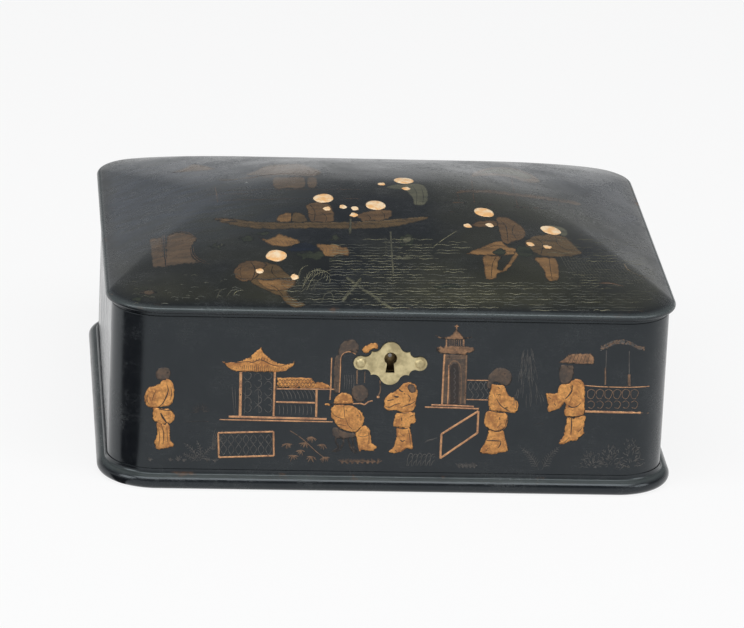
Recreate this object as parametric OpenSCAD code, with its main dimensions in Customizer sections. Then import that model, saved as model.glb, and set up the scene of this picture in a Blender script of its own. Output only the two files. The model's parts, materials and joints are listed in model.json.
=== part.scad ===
// Deed box with a domed lid, a moulded plinth, a box lock and two stop hinges.
// The origin is the middle of the foot, with the front of the box towards -Y.

/* [Case] */
// Width of the case over its walls
body_w = 323; // [310:1:380]
// Depth of the case over its walls
body_d = 277; // [240:1:290]
// Height of the case's top edge above the table
joint_z = 104; // [96:1:130]
// Thickness of the walls
wall_t = 11; // [10:0.5:13]
// Outer radius of the case's corners
corner_r = 28; // [24:0.5:40]
// Thickness of the base board
base_t = 8; // [6:0.5:12]
// Thickness of the tongues between boards and corner posts
tongue_t = 3; // [2:0.5:4]
// Length of the tongues
tongue_l = 4; // [3:0.5:6]

/* [Plinth] */
// Height of the plinth against the walls
plinth_h = 11; // [9.5:0.5:14]
// How far the plinth stands out from the walls
plinth_out = 5.8; // [4.5:0.1:8]
// Width of the flat edge on top of the plinth
plinth_lip = 0.5; // [0.4:0.1:0.8]
// Height of the plinth's rounded nose
nose_h = 8; // [7:0.5:9]
// Height of the ledge that the walls stand on
ledge_t = 2; // [1.5:0.5:4]
// How far the ledge runs inward from the outside of the walls
ledge_in = 15; // [14:0.5:20]

/* [Lid] */
// Gap between the case and the closed lid
lid_gap = 0.3; // [0.2:0.1:0.6]
// Height of the lid's plain band above the joint
band_h = 2.2; // [2.2:0.1:4]
// Thickness of the lid's rounded lip
rim_h = 3.6; // [3:0.1:6]
// How far the lip stands out from the walls
rim_out = 3.5; // [2.5:0.1:4]
// Rise of the dome above the lip
dome_h = 32.5; // [26:0.5:42]
// Thickness of the dome at its middle
dome_t = 8.5; // [7:0.5:12]
// Power of the dome's fall from ridge to edge
dome_fall = 1.67; // [1.4:0.01:2.2]
// Power of the dome's rise at its edge
dome_edge = 1.1; // [1:0.01:1.5]

/* [Lining] */
// Thickness of the lining
lining_t = 0.8; // [0.4:0.1:1.5]
// How far the wall lining stops below the case's top edge
lining_drop = 1.5; // [0.5:0.5:4]

/* [Keyhole and escutcheon] */
// Place of the keyhole along the front
lock_x = -1.5; // [-20:0.5:20]
// Distance of the middle of the keyhole's round part below the top of the walls
keyhole_drop = 23; // [21:0.5:25]
// Diameter of the keyhole's round part
keyhole_d = 7.5; // [6.5:0.1:8.5]
// Height of the whole keyhole
keyhole_h = 12.4; // [11:0.1:13]
// Width of the keyhole's slot
slot_w = 3.3; // [2.6:0.1:4]
// Distance of the escutcheon's middle below that of the keyhole's round part
plate_drop = 3; // [2:0.5:4]
// Thickness of the escutcheon
plate_t = 1.2; // [0.8:0.1:2]
// Half the width of the escutcheon's square middle, out to its points
point_x = 11; // [10:0.1:12]
// Half the height of the escutcheon's square middle, out to its points
point_z = 7.1; // [6.5:0.1:8]
// Radius of the escutcheon's top and bottom lobes
lobe_r = 6.1; // [5.5:0.1:6.5]
// Distance of the top and bottom lobes from the middle
lobe_z = 6.8; // [6:0.1:8]
// Radius of the escutcheon's end lobes
ear_r = 4.1; // [3.6:0.1:5]
// Distance of the end lobes from the middle
ear_x = 17.1; // [16:0.1:19]
// Radius of the escutcheon pins' round heads
pin_head_r = 2.9; // [2.2:0.1:3.2]
// Height of the pins' heads
pin_head_h = 1.6; // [1:0.1:2.5]
// Diameter of the pins' shanks
pin_d = 1.6; // [1.2:0.1:2]
// Length of the pins' shanks
pin_l = 4; // [3:0.1:4.2]

/* [Lock] */
// Width of the lock plate
lock_plate_w = 64; // [60:1:80]
// Thickness of the lock plate
lock_plate_t = 1.6; // [1.2:0.1:2]
// Height of the lock plate below the case's top edge
lock_plate_h = 38; // [36:1:44]
// Thickness of the selvage let into the case's top edge
selvage_t = 1.8; // [1.4:0.1:2.4]
// Width of the selvage across the wall
selvage_w = 8.5; // [8:0.1:9.5]
// Width of the lock case
lock_w = 54; // [50:1:58]
// Depth of the mortise for the lock, from the inside of the wall
mortise = 7.6; // [7:0.1:8.5]
// Wall of the lock case
lock_wall = 1.2; // [0.8:0.1:1.5]
// Diameter of the key pin
key_pin_d = 2.2; // [1.8:0.1:2.6]
// Travel of the bolt
bolt_throw = 3.6; // [3:0.1:3.8]
// Height of the bolt's bar
bolt_h = 6; // [5:0.5:7]
// Thickness of the bolt
bolt_t = 2.6; // [2:0.1:3]
// Width of each hook's stem
hook_w = 2.6; // [2:0.1:3]
// Length of each hook's nose
nose_l = 3; // [2.4:0.1:3.4]
// Thickness of each hook's nose
nose_t = 2.4; // [2:0.1:2.8]
// Distance of the hooks from the keyhole
hook_x = 13; // [12:0.5:15]

/* [Hinges] */
// Distance of each hinge's middle from the side of the case
hinge_in = 66.5; // [60:0.5:80]
// Length of a hinge's barrel
barrel_l = 40; // [30:1:60]
// Radius of a hinge's barrel
barrel_r = 2.1; // [1.9:0.05:2.1]
// Radius of a hinge's pin
hinge_pin_r = 1; // [0.8:0.05:1.2]
// Thickness of a hinge's leaves
leaf_t = 1.6; // [1.2:0.1:1.9]
// How far a leaf runs into the wall
leaf_in = 9; // [8:0.5:9.5]
// Length of each stop at a barrel's ends
stop_l = 6; // [4:0.5:8]
// How far the lid opens
lid_open = 95; // [90:1:100]

/* [Screws] */
// Radius of the screws' heads
screw_head_r = 2.3; // [1.8:0.1:2.6]
// Radius of the screws' shanks
screw_r = 1.1; // [0.8:0.1:1.3]
// Length of the screws in the case
case_screw_l = 9; // [6:0.5:12]
// Length of the screws in the lid
lid_screw_l = 5; // [4:0.1:5.2]
// Length of the lock plate's screws
lock_screw_l = 7; // [5:0.5:8]

/* [Inlays] */
// Diameter of a face inlay
face_d = 12; // [10:0.1:13]
// Diameter of a hand inlay
hand_d = 4.6; // [3.6:0.1:5.5]
// Thickness of the inlays
inlay_t = 1.2; // [0.8:0.1:2]
// How far the inlays stand above the lacquer
inlay_proud = 0.25; // [0.1:0.05:0.4]

/* [Hidden] */
$fn = 64;

// Clearance of glued joints, and of screws and pins in their holes
glue_gap = 0.1;
hole_gap = 0.05;
// Clearance of what turns or slides
run_gap = 0.05;
move_gap = 0.25;
// Clearance of the hooks in the selvage's slots
hook_gap = 0.5;
// Overlap of a cutting tool past the face that it cuts
over = 1;

front_y = -body_d / 2;
back_y = body_d / 2;
inner_y = front_y + wall_t;
inner_r = corner_r - wall_t;
inner_w = body_w - 2 * wall_t;
inner_d = body_d - 2 * wall_t;
floor_z = ledge_t + base_t;
keyhole_z = joint_z - keyhole_drop;
plate_z = keyhole_z - plate_drop;

lid_z = joint_z + lid_gap;
band_z = lid_z + band_h;
rim_z = band_z + rim_h;
dome_foot_out = rim_out - rim_h / 2;
dome_w = body_w + 2 * dome_foot_out;
dome_d = body_d + 2 * dome_foot_out;
dome_r = corner_r + dome_foot_out;
hinge_x = body_w / 2 - hinge_in;

arc_steps = 16;
corner_steps = 10;
dome_rings = 17;

function side_w(i) = i % 2 == 0 ? body_w : body_d;
function side_d(i) = i % 2 == 0 ? body_d : body_w;

module round_rect(w, d, r) {
    square([w - 2 * r, d], center = true);
    square([w, d - 2 * r], center = true);
    for (x = [-1, 1], y = [-1, 1]) translate([x * (w / 2 - r), y * (d / 2 - r)]) circle(r);
}

// One side of a frame round the box, mitred through the middle of its round corners.
// Its profile lies with x outward from the walls' outer face and y upward.
module frame_side(i) {
    w = side_w(i);
    d = side_d(i);
    rotate([0, 0, 90 * i]) {
        translate([w / 2 - corner_r, -d / 2, 0])
            rotate([90, 0, -90]) linear_extrude(w - 2 * corner_r) children();
        for (flip = [0, 1])
            mirror([flip, 0, 0]) translate([w / 2 - corner_r, corner_r - d / 2, 0])
                rotate([0, 0, 270])
                    rotate_extrude(angle = 45) translate([corner_r, 0]) children();
    }
}

// A flat outline in x and z, given a thickness from y towards the front
module upright(y, t) {
    translate([0, y, 0]) rotate([90, 0, 0]) linear_extrude(t) children();
}

// A countersunk screw that points down, with its head's top at the origin
module screw(head, shank, length, gap = 0) {
    cone_h = head - shank;
    translate([0, 0, -cone_h]) cylinder(r1 = shank + gap, r2 = head + gap, h = cone_h);
    translate([0, 0, -length - gap]) cylinder(r = shank + gap, h = length - cone_h + gap);
}

// The case's walls and base

module plain_board(i) {
    w = side_w(i) - 2 * corner_r;
    d = side_d(i);
    rotate([0, 0, 90 * i]) {
        translate([-w / 2, -d / 2, ledge_t]) cube([w, wall_t, joint_z - ledge_t]);
        translate([-w / 2 - tongue_l, (wall_t - tongue_t - d) / 2, ledge_t])
            cube([w + 2 * tongue_l, tongue_t, joint_z - ledge_t]);
    }
}

module base_board() {
    color("saddlebrown") translate([0, 0, ledge_t]) linear_extrude(base_t)
        round_rect(inner_w - 2 * glue_gap, inner_d - 2 * glue_gap, inner_r - glue_gap);
}

module front_board() {
    color("black") difference() {
        plain_board(0);
        lock_mortise();
        upright(front_y + wall_t, wall_t + over) keyhole(0.3);
        lock_screw_places() screw(lock_head_r, lock_shank_r, lock_screw_l, hole_gap);
        escutcheon_pin_places() pin_shank(hole_gap);
    }
}

module right_board() { color("black") plain_board(1); }

module back_board() {
    color("black") difference() {
        plain_board(2);
        for (side = [-1, 1]) {
            hinge_place(side) leaf_recess();
            leaf_screw_places(side) screw(screw_head_r, screw_r, case_screw_l, hole_gap);
        }
    }
}

module left_board() { color("black") plain_board(3); }

module corner_posts() {
    groove_l = tongue_l + glue_gap;
    groove_t = tongue_t + 2 * glue_gap;
    color("black") for (x = [-1, 1], y = [-1, 1])
        translate([x * (body_w / 2 - corner_r), y * (body_d / 2 - corner_r), ledge_t]) difference() {
            scale([x, y, 1]) rotate_extrude(angle = 90)
                translate([inner_r, 0]) square([wall_t, joint_z - ledge_t]);
            scale([x, y, 1]) for (turn = [0, 1]) mirror([turn, -turn, 0])
                translate([-over, corner_r - (wall_t + groove_t) / 2, -over])
                    cube([groove_l + over, groove_t, joint_z]);
        }
}

// The plinth: a hollow curve down from the walls, then a half-round nose

module plinth_profile() {
    nose_r = nose_h / 2;
    hollow_x = plinth_out - nose_r;
    polygon(concat(
        [for (i = [0:arc_steps / 2]) let (a = 180 * i / arc_steps)
            [plinth_lip + (hollow_x - plinth_lip) * (1 - cos(a)), plinth_h - (plinth_h - nose_h) * sin(a)]],
        [for (i = [1:arc_steps]) let (a = 90 - 180 * i / arc_steps)
            [hollow_x + nose_r * cos(a), nose_r * (1 + sin(a))]],
        [[-ledge_in, 0], [-ledge_in, ledge_t], [0, ledge_t], [0, plinth_h]]
    ));
}

module plinth_front() { color("black") frame_side(0) plinth_profile(); }
module plinth_right() { color("black") frame_side(1) plinth_profile(); }
module plinth_back() { color("black") frame_side(2) plinth_profile(); }
module plinth_left() { color("black") frame_side(3) plinth_profile(); }

// The lining of the case

module floor_lining() {
    gap = lining_t + glue_gap;
    color("firebrick") translate([0, 0, floor_z]) linear_extrude(lining_t)
        round_rect(inner_w - 2 * gap, inner_d - 2 * gap, inner_r - gap);
}

module wall_lining() {
    color("firebrick") difference() {
        translate([0, 0, floor_z]) linear_extrude(joint_z - lining_drop - floor_z) difference() {
            round_rect(inner_w, inner_d, inner_r);
            round_rect(inner_w - 2 * lining_t, inner_d - 2 * lining_t, inner_r - lining_t);
        }
        translate([lock_x - lock_plate_w / 2 - glue_gap, inner_y - over, lock_plate_z - glue_gap])
            cube([lock_plate_w + 2 * glue_gap, lining_t + 2 * over, lock_plate_h + over]);
    }
}

// The keyhole, and the escutcheon with its pins

// The slot widens a little towards its foot.
module keyhole(gap = 0) {
    foot_w = slot_w * 1.6;
    foot_z = keyhole_z + keyhole_d / 2 - keyhole_h;
    translate([lock_x, keyhole_z]) circle(keyhole_d / 2 + gap);
    polygon([
        [lock_x - slot_w / 2 - gap, keyhole_z], [lock_x + slot_w / 2 + gap, keyhole_z],
        [lock_x + foot_w / 2 + gap, foot_z - gap], [lock_x - foot_w / 2 - gap, foot_z - gap]
    ]);
}

// Each hollow between two lobes is an arc through a point that runs smoothly into the lobe.
hollow_r = 3.5;
shoulder_r = 4.1;
function smooth_hollow(point, lobe, r, lobe_radius) =
    let (gap = norm(lobe - point), reach = r + lobe_radius,
         along = (gap * gap + r * r - reach * reach) / (2 * gap),
         aside = sqrt(max(r * r - along * along, 0)),
         u = (lobe - point) / gap)
    point + along * u + aside * (u[0] > 0 ? [-u[1], u[0]] : [u[1], -u[0]]);

module escutcheon_outline() {
    point = [point_x, point_z];
    side_hollow = smooth_hollow(point, [ear_x, 0], hollow_r, ear_r);
    top_hollow = smooth_hollow(point, [0, lobe_z], shoulder_r, lobe_r);
    neck_x = side_hollow[0] + (ear_x - side_hollow[0]) * hollow_r / (hollow_r + ear_r);
    neck_z = top_hollow[1] + (lobe_z - top_hollow[1]) * shoulder_r / (shoulder_r + lobe_r);
    difference() {
        union() {
            square([2 * neck_x, 2 * point_z], center = true);
            square([2 * point_x, 2 * neck_z], center = true);
            for (side = [-1, 1]) {
                translate([side * ear_x, 0]) circle(ear_r);
                translate([0, side * lobe_z]) circle(lobe_r);
            }
        }
        for (x = [-1, 1], z = [-1, 1]) {
            translate([x * side_hollow[0], z * side_hollow[1]]) circle(hollow_r);
            translate([x * top_hollow[0], z * top_hollow[1]]) circle(shoulder_r);
        }
    }
}

module escutcheon() {
    color("darkkhaki") difference() {
        upright(front_y, plate_t) difference() {
            translate([lock_x, plate_z]) escutcheon_outline();
            keyhole();
        }
        escutcheon_pin_places() pin_shank(hole_gap);
    }
}

// Places on the escutcheon's face, pointing out of the box
module escutcheon_pin_places() {
    for (side = [-1, 1]) translate([lock_x + side * ear_x, front_y - plate_t, plate_z])
        rotate([90, 0, 0]) children();
}

module pin_shank(gap = 0) {
    translate([0, 0, -pin_l - gap]) cylinder(d = pin_d + 2 * gap, h = pin_l + over);
}

module escutcheon_pins() {
    ball_r = (pin_head_r * pin_head_r + pin_head_h * pin_head_h) / (2 * pin_head_h);
    color("darkkhaki") escutcheon_pin_places() {
        intersection() {
            translate([0, 0, pin_head_h - ball_r]) sphere(ball_r);
            cylinder(r = pin_head_r + over, h = pin_head_h + over);
        }
        translate([0, 0, -pin_l]) cylinder(d = pin_d, h = pin_l + pin_head_h / 2);
    }
}

// The lock. Its plate lies flush with the inside of the front wall.

lock_plate_z = joint_z - lock_plate_h;
lock_back = inner_y - lock_plate_t;
lock_front = inner_y - mortise + glue_gap;
lock_foot = lock_plate_z + 2;
selvage_z = joint_z - selvage_t;
chamber_front = lock_front + lock_wall;
lock_head_r = 1.8;
lock_shank_r = 0.9;
lock_screw_inset = (lock_plate_w - lock_w) / 4;
// Distance of the lock plate's screws from its foot and from the selvage
lock_screw_low = 6;
lock_screw_high = 8;

// The bolt's bar runs above the keyhole, and its hooks rise beside those of the link plate.
bolt_rise = 7;
bolt_z = keyhole_z + bolt_rise;
bolt_y = (lock_back + chamber_front + bolt_t) / 2;
guide_x = 15;
guide_r = 1.2;
talon_r = 2.4;
hook_t = 2.4;
hook_y = (lock_back + chamber_front + hook_t) / 2;
link_nose_z = bolt_z + bolt_h + 2 * move_gap;
catch_z = link_nose_z + nose_t + move_gap;
// The bolt's hooks end this far left of the link plate's stems
hook_tip_x = -bolt_throw - move_gap;
hook_stem_x = hook_tip_x - nose_l - hook_w;

module lock_mortise() {
    translate([lock_x - lock_w / 2 - glue_gap, inner_y - mortise, lock_foot - glue_gap])
        cube([lock_w + 2 * glue_gap, mortise + over, lock_plate_h + over]);
    translate([lock_x - lock_plate_w / 2 - glue_gap, lock_back - glue_gap, lock_plate_z - glue_gap])
        cube([lock_plate_w + 2 * glue_gap, lock_plate_t + over, lock_plate_h + over]);
    translate([lock_x - lock_plate_w / 2 - glue_gap, inner_y - selvage_w - glue_gap, selvage_z - glue_gap])
        cube([lock_plate_w + 2 * glue_gap, selvage_w + over, selvage_t + over]);
}

// Places on the lock plate's inner face, with the screws' points towards the front
module lock_screw_places() {
    for (side = [-1, 1], z = [lock_plate_z + lock_screw_low, selvage_z - lock_screw_high])
        translate([lock_x + side * (lock_plate_w / 2 - lock_screw_inset), inner_y, z])
            rotate([-90, 0, 0]) children();
}

module lock_plate() {
    slot_l = nose_l + hook_w + 2 * hook_gap;
    color("goldenrod") difference() {
        union() {
            translate([lock_x - lock_plate_w / 2, lock_back, lock_plate_z])
                cube([lock_plate_w, lock_plate_t, lock_plate_h]);
            translate([lock_x - lock_plate_w / 2, inner_y - selvage_w, selvage_z])
                cube([lock_plate_w, selvage_w, selvage_t]);
            for (side = [-1, 1])
                translate([lock_x + side * guide_x, lock_back + hole_gap, bolt_z + bolt_h / 2]) rotate([90, 0, 0])
                    cylinder(r = guide_r, h = lock_back + hole_gap - chamber_front - run_gap);
        }
        for (side = [-1, 1])
            translate([lock_x + side * hook_x - nose_l - hook_gap, hook_y - hook_t - hook_gap, selvage_z - over])
                cube([slot_l, hook_t + 2 * hook_gap, selvage_t + 2 * over]);
        lock_screw_places() screw(lock_head_r, lock_shank_r, lock_screw_l, hole_gap);
        translate([lock_x, inner_y + over, keyhole_z]) rotate([90, 0, 0])
            cylinder(d = key_pin_d + 2 * hole_gap, h = lock_plate_t + 2 * over);
    }
}

module lock_case() {
    color("goldenrod") difference() {
        translate([lock_x - lock_w / 2, lock_front, lock_foot])
            cube([lock_w, lock_back - lock_front, selvage_z - lock_foot]);
        translate([lock_x - lock_w / 2 + lock_wall, chamber_front, lock_foot + lock_wall])
            cube([lock_w - 2 * lock_wall, lock_back - chamber_front + over, lock_plate_h]);
        upright(chamber_front + over, lock_wall + 2 * over) keyhole(0.2);
    }
}

module key_pin() {
    color("goldenrod") translate([lock_x, inner_y, keyhole_z]) rotate([90, 0, 0])
        cylinder(d = key_pin_d, h = inner_y - chamber_front - move_gap);
}

module lock_screws() {
    color("goldenrod") lock_screw_places() screw(lock_head_r, lock_shank_r, lock_screw_l);
}

// A hook that stands on the bar and reaches towards the right, over the link plate's hook
module bolt_hook() {
    translate([hook_stem_x, bolt_h / 2]) square([hook_w, catch_z + nose_t - bolt_z - bolt_h / 2]);
    translate([hook_stem_x, catch_z - bolt_z]) square([nose_l + hook_w, nose_t]);
}

module lock_bolt() {
    color("darkgoldenrod") difference() {
        upright(bolt_y, bolt_t) translate([lock_x, bolt_z]) {
            translate([hook_stem_x - hook_x, 0]) square([hook_x - hook_stem_x + guide_x + bolt_h / 2, bolt_h]);
            for (side = [-1, 1]) translate([side * hook_x, 0]) bolt_hook();
        }
        upright(bolt_y + over, bolt_t + 2 * over) for (side = [-1, 1])
            translate([lock_x + side * guide_x - bolt_throw, bolt_z + bolt_h / 2]) {
                circle(guide_r + run_gap);
                translate([bolt_throw, 0]) circle(guide_r + run_gap);
                translate([0, -guide_r - run_gap]) square([bolt_throw, 2 * (guide_r + run_gap)]);
            }
        upright(bolt_y + over, bolt_t + 2 * over) translate([lock_x, bolt_z])
            circle(talon_r);
    }
}

// A leaf spring: its foot lies on the lock case's side, and its tip bears on the bolt's underside.
spring_t = 0.5;
spring_tip_x = lock_x - 10;
spring_fall = 9;
spring_foot = 4;
spring_in = 0.3;

module bolt_spring() {
    foot_x = lock_x - lock_w / 2 + lock_wall;
    tip = [spring_tip_x, bolt_z - run_gap];
    foot = [foot_x, tip[1] - spring_fall];
    color("silver") upright(bolt_y - spring_in, bolt_t - 2 * spring_in) {
        translate([foot[0], foot[1] - spring_foot]) square([spring_t, spring_foot]);
        polygon([foot, foot + [spring_t, -spring_t], tip - [0, spring_t], tip]);
    }
}

// The hinges. Each turns about an axis outside the back wall, level with the middle of the gap.

axis_y = back_y + barrel_r + move_gap;
axis_z = joint_z + lid_gap / 2;
knuckles = 5;
knuckle_l = barrel_l / knuckles;
leaf_w = barrel_l + 2 * stop_l;
mitre = lid_open / 2;

module hinge_place(side) {
    translate([side * hinge_x, axis_y, axis_z]) children();
}

// A flat outline in y and z, given a length along x and centred there
module along_hinge(length) {
    rotate([90, 0, 90]) translate([0, 0, -length / 2]) linear_extrude(length) children();
}

// The leaf that lies below the axis. It has the outer knuckles and the middle one.
module lower_half(own) {
    leaf_top = -lid_gap / 2;
    wall_y = -barrel_r - move_gap;
    mitre_gap = 0.1;
    difference() {
        union() {
            translate([-leaf_w / 2, wall_y - leaf_in, leaf_top - leaf_t]) cube([leaf_w, leaf_in, leaf_t]);
            for (end = [-1, 1]) translate([end * (barrel_l + stop_l) / 2, 0, 0])
                along_hinge(stop_l) polygon([
                    [wall_y - over, leaf_top], [-leaf_top / tan(mitre) - mitre_gap, leaf_top],
                    [(leaf_t - leaf_top) / tan(mitre) - mitre_gap, leaf_top - leaf_t],
                    [wall_y - over, leaf_top - leaf_t]
                ]);
            for (k = own) translate([(k - (knuckles - 1) / 2) * knuckle_l, 0, 0]) {
                along_hinge(knuckle_l - 2 * run_gap) circle(barrel_r);
                translate([0, (wall_y - over) / 2, leaf_top - leaf_t / 2])
                    cube([knuckle_l - 2 * run_gap, -wall_y + over, leaf_t], center = true);
            }
        }
        along_hinge(leaf_w + over) circle(hinge_pin_r + run_gap);
    }
}

module lower_leaf(side) {
    difference() {
        hinge_place(side) lower_half([0, 2, 4]);
        leaf_screw_places(side) screw(screw_head_r, screw_r, case_screw_l, hole_gap);
    }
}

module upper_leaf(side) {
    difference() {
        hinge_place(side) mirror([0, 0, 1]) lower_half([1, 3]);
        lid_leaf_screw_places(side) screw(screw_head_r, screw_r, lid_screw_l, hole_gap);
    }
}

module leaf_recess() {
    translate([-leaf_w / 2 - glue_gap, -barrel_r - move_gap - leaf_in - glue_gap, -lid_gap / 2 - leaf_t])
        cube([leaf_w + 2 * glue_gap, leaf_in + glue_gap + over, leaf_t + over]);
}

// Three screws to a leaf, pointing down into the case
module leaf_screw_places(side) {
    for (step = [-1, 0, 1])
        translate([side * hinge_x + step * leaf_w / 3, back_y - leaf_in / 2, joint_z]) children();
}

// Three screws to a leaf, pointing up into the lid
module lid_leaf_screw_places(side) {
    for (step = [-1, 0, 1])
        translate([side * hinge_x + step * leaf_w / 3, back_y - leaf_in / 2, lid_z]) mirror([0, 0, 1]) children();
}

module hinge_pin(side) {
    hinge_place(side) along_hinge(barrel_l) circle(hinge_pin_r);
}

module left_lower_leaf() { color("goldenrod") lower_leaf(-1); }
module right_lower_leaf() { color("goldenrod") lower_leaf(1); }
module left_upper_leaf() { color("goldenrod") upper_leaf(-1); }
module right_upper_leaf() { color("goldenrod") upper_leaf(1); }
module left_hinge_pin() { color("silver") hinge_pin(-1); }
module right_hinge_pin() { color("silver") hinge_pin(1); }

module lower_leaf_screws() {
    color("goldenrod") for (side = [-1, 1])
        leaf_screw_places(side) screw(screw_head_r, screw_r, case_screw_l);
}

module upper_leaf_screws() {
    color("goldenrod") for (side = [-1, 1])
        lid_leaf_screw_places(side) screw(screw_head_r, screw_r, lid_screw_l);
}

// The lid's rails: a plain band, then a half-round lip that overhangs the walls

module rail_profile() {
    lip_r = rim_h / 2;
    polygon(concat(
        [[-wall_t, lid_z], [0, lid_z], [0, band_z]],
        [for (i = [0:arc_steps]) let (a = 180 * i / arc_steps - 90)
            [rim_out - lip_r + lip_r * cos(a), band_z + lip_r * (1 + sin(a))]],
        [[-wall_t, rim_z]]
    ));
}

module lid_front_rail() {
    color("black") difference() {
        frame_side(0) rail_profile();
        link_recess();
        link_screw_places() screw(screw_head_r, screw_r, lid_screw_l, hole_gap);
    }
}

module lid_right_rail() { color("black") frame_side(1) rail_profile(); }

module lid_back_rail() {
    color("black") difference() {
        frame_side(2) rail_profile();
        for (side = [-1, 1]) {
            hinge_place(side) mirror([0, 0, 1]) leaf_recess();
            lid_leaf_screw_places(side) screw(screw_head_r, screw_r, lid_screw_l, hole_gap);
        }
    }
}

module lid_left_rail() { color("black") frame_side(3) rail_profile(); }

// The dome. Its level rings keep an even inset from its foot and grow rounder towards the ridge.

function dome_rise(t) = pow(max(1 - pow(1 - t, dome_fall), 0), 1 / dome_edge);
function ring_r(r, half_d, inset) = min(r + (half_d - r) * inset / half_d, half_d - inset);
function ring(w, d, r, inset, z) =
    let (rr = ring_r(r, d / 2, inset), x = w / 2 - inset - rr, y = d / 2 - inset - rr)
    [for (q = [0:3], i = [0:corner_steps]) let (a = 90 * (q + i / corner_steps))
        [(q == 0 || q == 3 ? x : -x) + rr * cos(a), (q < 2 ? y : -y) + rr * sin(a), z]];

// The rings close up towards the edge, where the dome bends most.
ridge_half = 1;
function ring_inset(d, i) = (d / 2 - ridge_half) * pow(i / (dome_rings - 1), 1.5);
function dome_skin(w, d, r, foot, rise) =
    [for (i = [0:dome_rings - 1]) let (inset = ring_inset(d, i))
        ring(w, d, r, inset, foot + rise * dome_rise(2 * inset / d))];

// A closed shell between an outer and an inner stack of rings, both from the foot to the ridge
module shell(outer, inner) {
    n = len(outer[0]);
    points = concat([for (row = outer, p = row) p], [for (row = inner, p = row) p]);
    inner_at = len(outer) * n;
    outer_top = (len(outer) - 1) * n;
    inner_top = inner_at + (len(inner) - 1) * n;
    walls = concat(
        [for (k = [0:len(outer) - 2], i = [0:n - 1]) let (j = (i + 1) % n, a = k * n)
            each [[a + i, a + n + i, a + j], [a + j, a + n + i, a + n + j]]],
        [for (k = [0:len(inner) - 2], i = [0:n - 1]) let (j = (i + 1) % n, a = inner_at + k * n)
            each [[a + i, a + j, a + n + i], [a + j, a + n + j, a + n + i]]],
        [for (i = [0:n - 1]) let (j = (i + 1) % n)
            each [[i, j, inner_at + i], [j, inner_at + j, inner_at + i]]]
    );
    caps = [[for (i = [n - 1:-1:0]) outer_top + i], [for (i = [0:n - 1]) inner_top + i]];
    polyhedron(points, concat(walls, caps), convexity = 6);
}

function hollow_skin(inset, drop) = dome_skin(
    inner_w - 2 * inset, inner_d - 2 * inset, inner_r - inset, rim_z, dome_h - dome_t - drop);

module lid_dome() {
    color("black") difference() {
        shell(dome_skin(dome_w, dome_d, dome_r, rim_z, dome_h), hollow_skin(0, 0));
        face_places() inlay(face_d + 2 * hole_gap);
        hand_places() inlay(hand_d + 2 * hole_gap);
    }
}

module lid_lining() {
    foot = lid_z + lining_drop;
    color("firebrick") shell(
        concat([ring(inner_w, inner_d, inner_r, 0, foot)], hollow_skin(0, 0)),
        concat([ring(inner_w - 2 * lining_t, inner_d - 2 * lining_t, inner_r - lining_t, 0, foot)],
            hollow_skin(lining_t, lining_t))
    );
}

// The inlays lie square to the dome, in the figures' places.

faces = [[-35.5, -26.6], [-5.4, -35.6], [14.2, 4], [-66.5, -93.4], [58.8, -37.1], [97.7, -46.3]];
hands = [
    [-34.2, -40.8], [-24.8, -38.3], [-17.8, -40.1], [-18.9, -48.3], [0.3, -3.7], [14.3, -10.6],
    [-76.8, -109], [-56.8, -113.8], [47.4, -56.8], [60.9, -52.9], [83.4, -70.8], [93.3, -72.1]
];

// How far a place lies outside the ring of an inset
function ring_miss(p, inset) =
    let (rr = ring_r(dome_r, dome_d / 2, inset),
         x = abs(p[0]) - (dome_w / 2 - inset - rr), y = abs(p[1]) - (dome_d / 2 - inset - rr))
    norm([max(x, 0), max(y, 0)]) + min(max(x, y), 0) - rr;
function place_inset(p, low = 0, high = dome_d / 2, steps = 24) =
    steps == 0 ? low : let (mid = (low + high) / 2)
    ring_miss(p, mid) > 0 ? place_inset(p, low, mid, steps - 1) : place_inset(p, mid, high, steps - 1);
function dome_z(p) = rim_z + dome_h * dome_rise(2 * place_inset(p) / dome_d);

module on_dome(places) {
    step = 2;
    for (p = places) {
        slope_x = (dome_z(p + [step, 0]) - dome_z(p - [step, 0])) / (2 * step);
        slope_y = (dome_z(p + [0, step]) - dome_z(p - [0, step])) / (2 * step);
        translate([p[0], p[1], dome_z(p)])
            rotate([0, atan(norm([slope_x, slope_y])), atan2(-slope_y, -slope_x)]) children();
    }
}

module face_places() { on_dome(faces) children(); }
module hand_places() { on_dome(hands) children(); }
module inlay(d) { translate([0, 0, inlay_proud - inlay_t]) cylinder(d = d, h = inlay_t); }
module face_inlays() { color("bisque") face_places() inlay(face_d); }
module hand_inlays() { color("bisque") hand_places() inlay(hand_d); }

// The link plate, let into the underside of the lid's front rail above the selvage

link_t = 1.6;
// Distance of the link plate's screws from its ends, and towards the front from its middle
link_screw_in = 5;
link_screw_shift = 0.5;

module link_recess() {
    translate([lock_x - lock_plate_w / 2 - glue_gap, inner_y - selvage_w - glue_gap, lid_z - over])
        cube([lock_plate_w + 2 * glue_gap, selvage_w + glue_gap - 1, link_t + over]);
}

// Places on the link plate's underside, pointing up into the lid
module link_screw_places() {
    for (side = [-1, 1])
        translate([lock_x + side * (lock_plate_w / 2 - link_screw_in), inner_y - selvage_w / 2 - link_screw_shift, lid_z])
            mirror([0, 0, 1]) children();
}

module link_plate() {
    color("goldenrod") difference() {
        union() {
            translate([lock_x - lock_plate_w / 2, inner_y - selvage_w, lid_z])
                cube([lock_plate_w, selvage_w - 1, link_t]);
            upright(hook_y, hook_t) for (side = [-1, 1]) translate([lock_x + side * hook_x, 0]) {
                translate([0, link_nose_z]) square([hook_w, lid_z + link_t / 2 - link_nose_z]);
                translate([-nose_l, link_nose_z]) square([nose_l + hook_w, nose_t]);
            }
        }
        link_screw_places() screw(screw_head_r, screw_r, lid_screw_l, hole_gap);
    }
}

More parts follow.
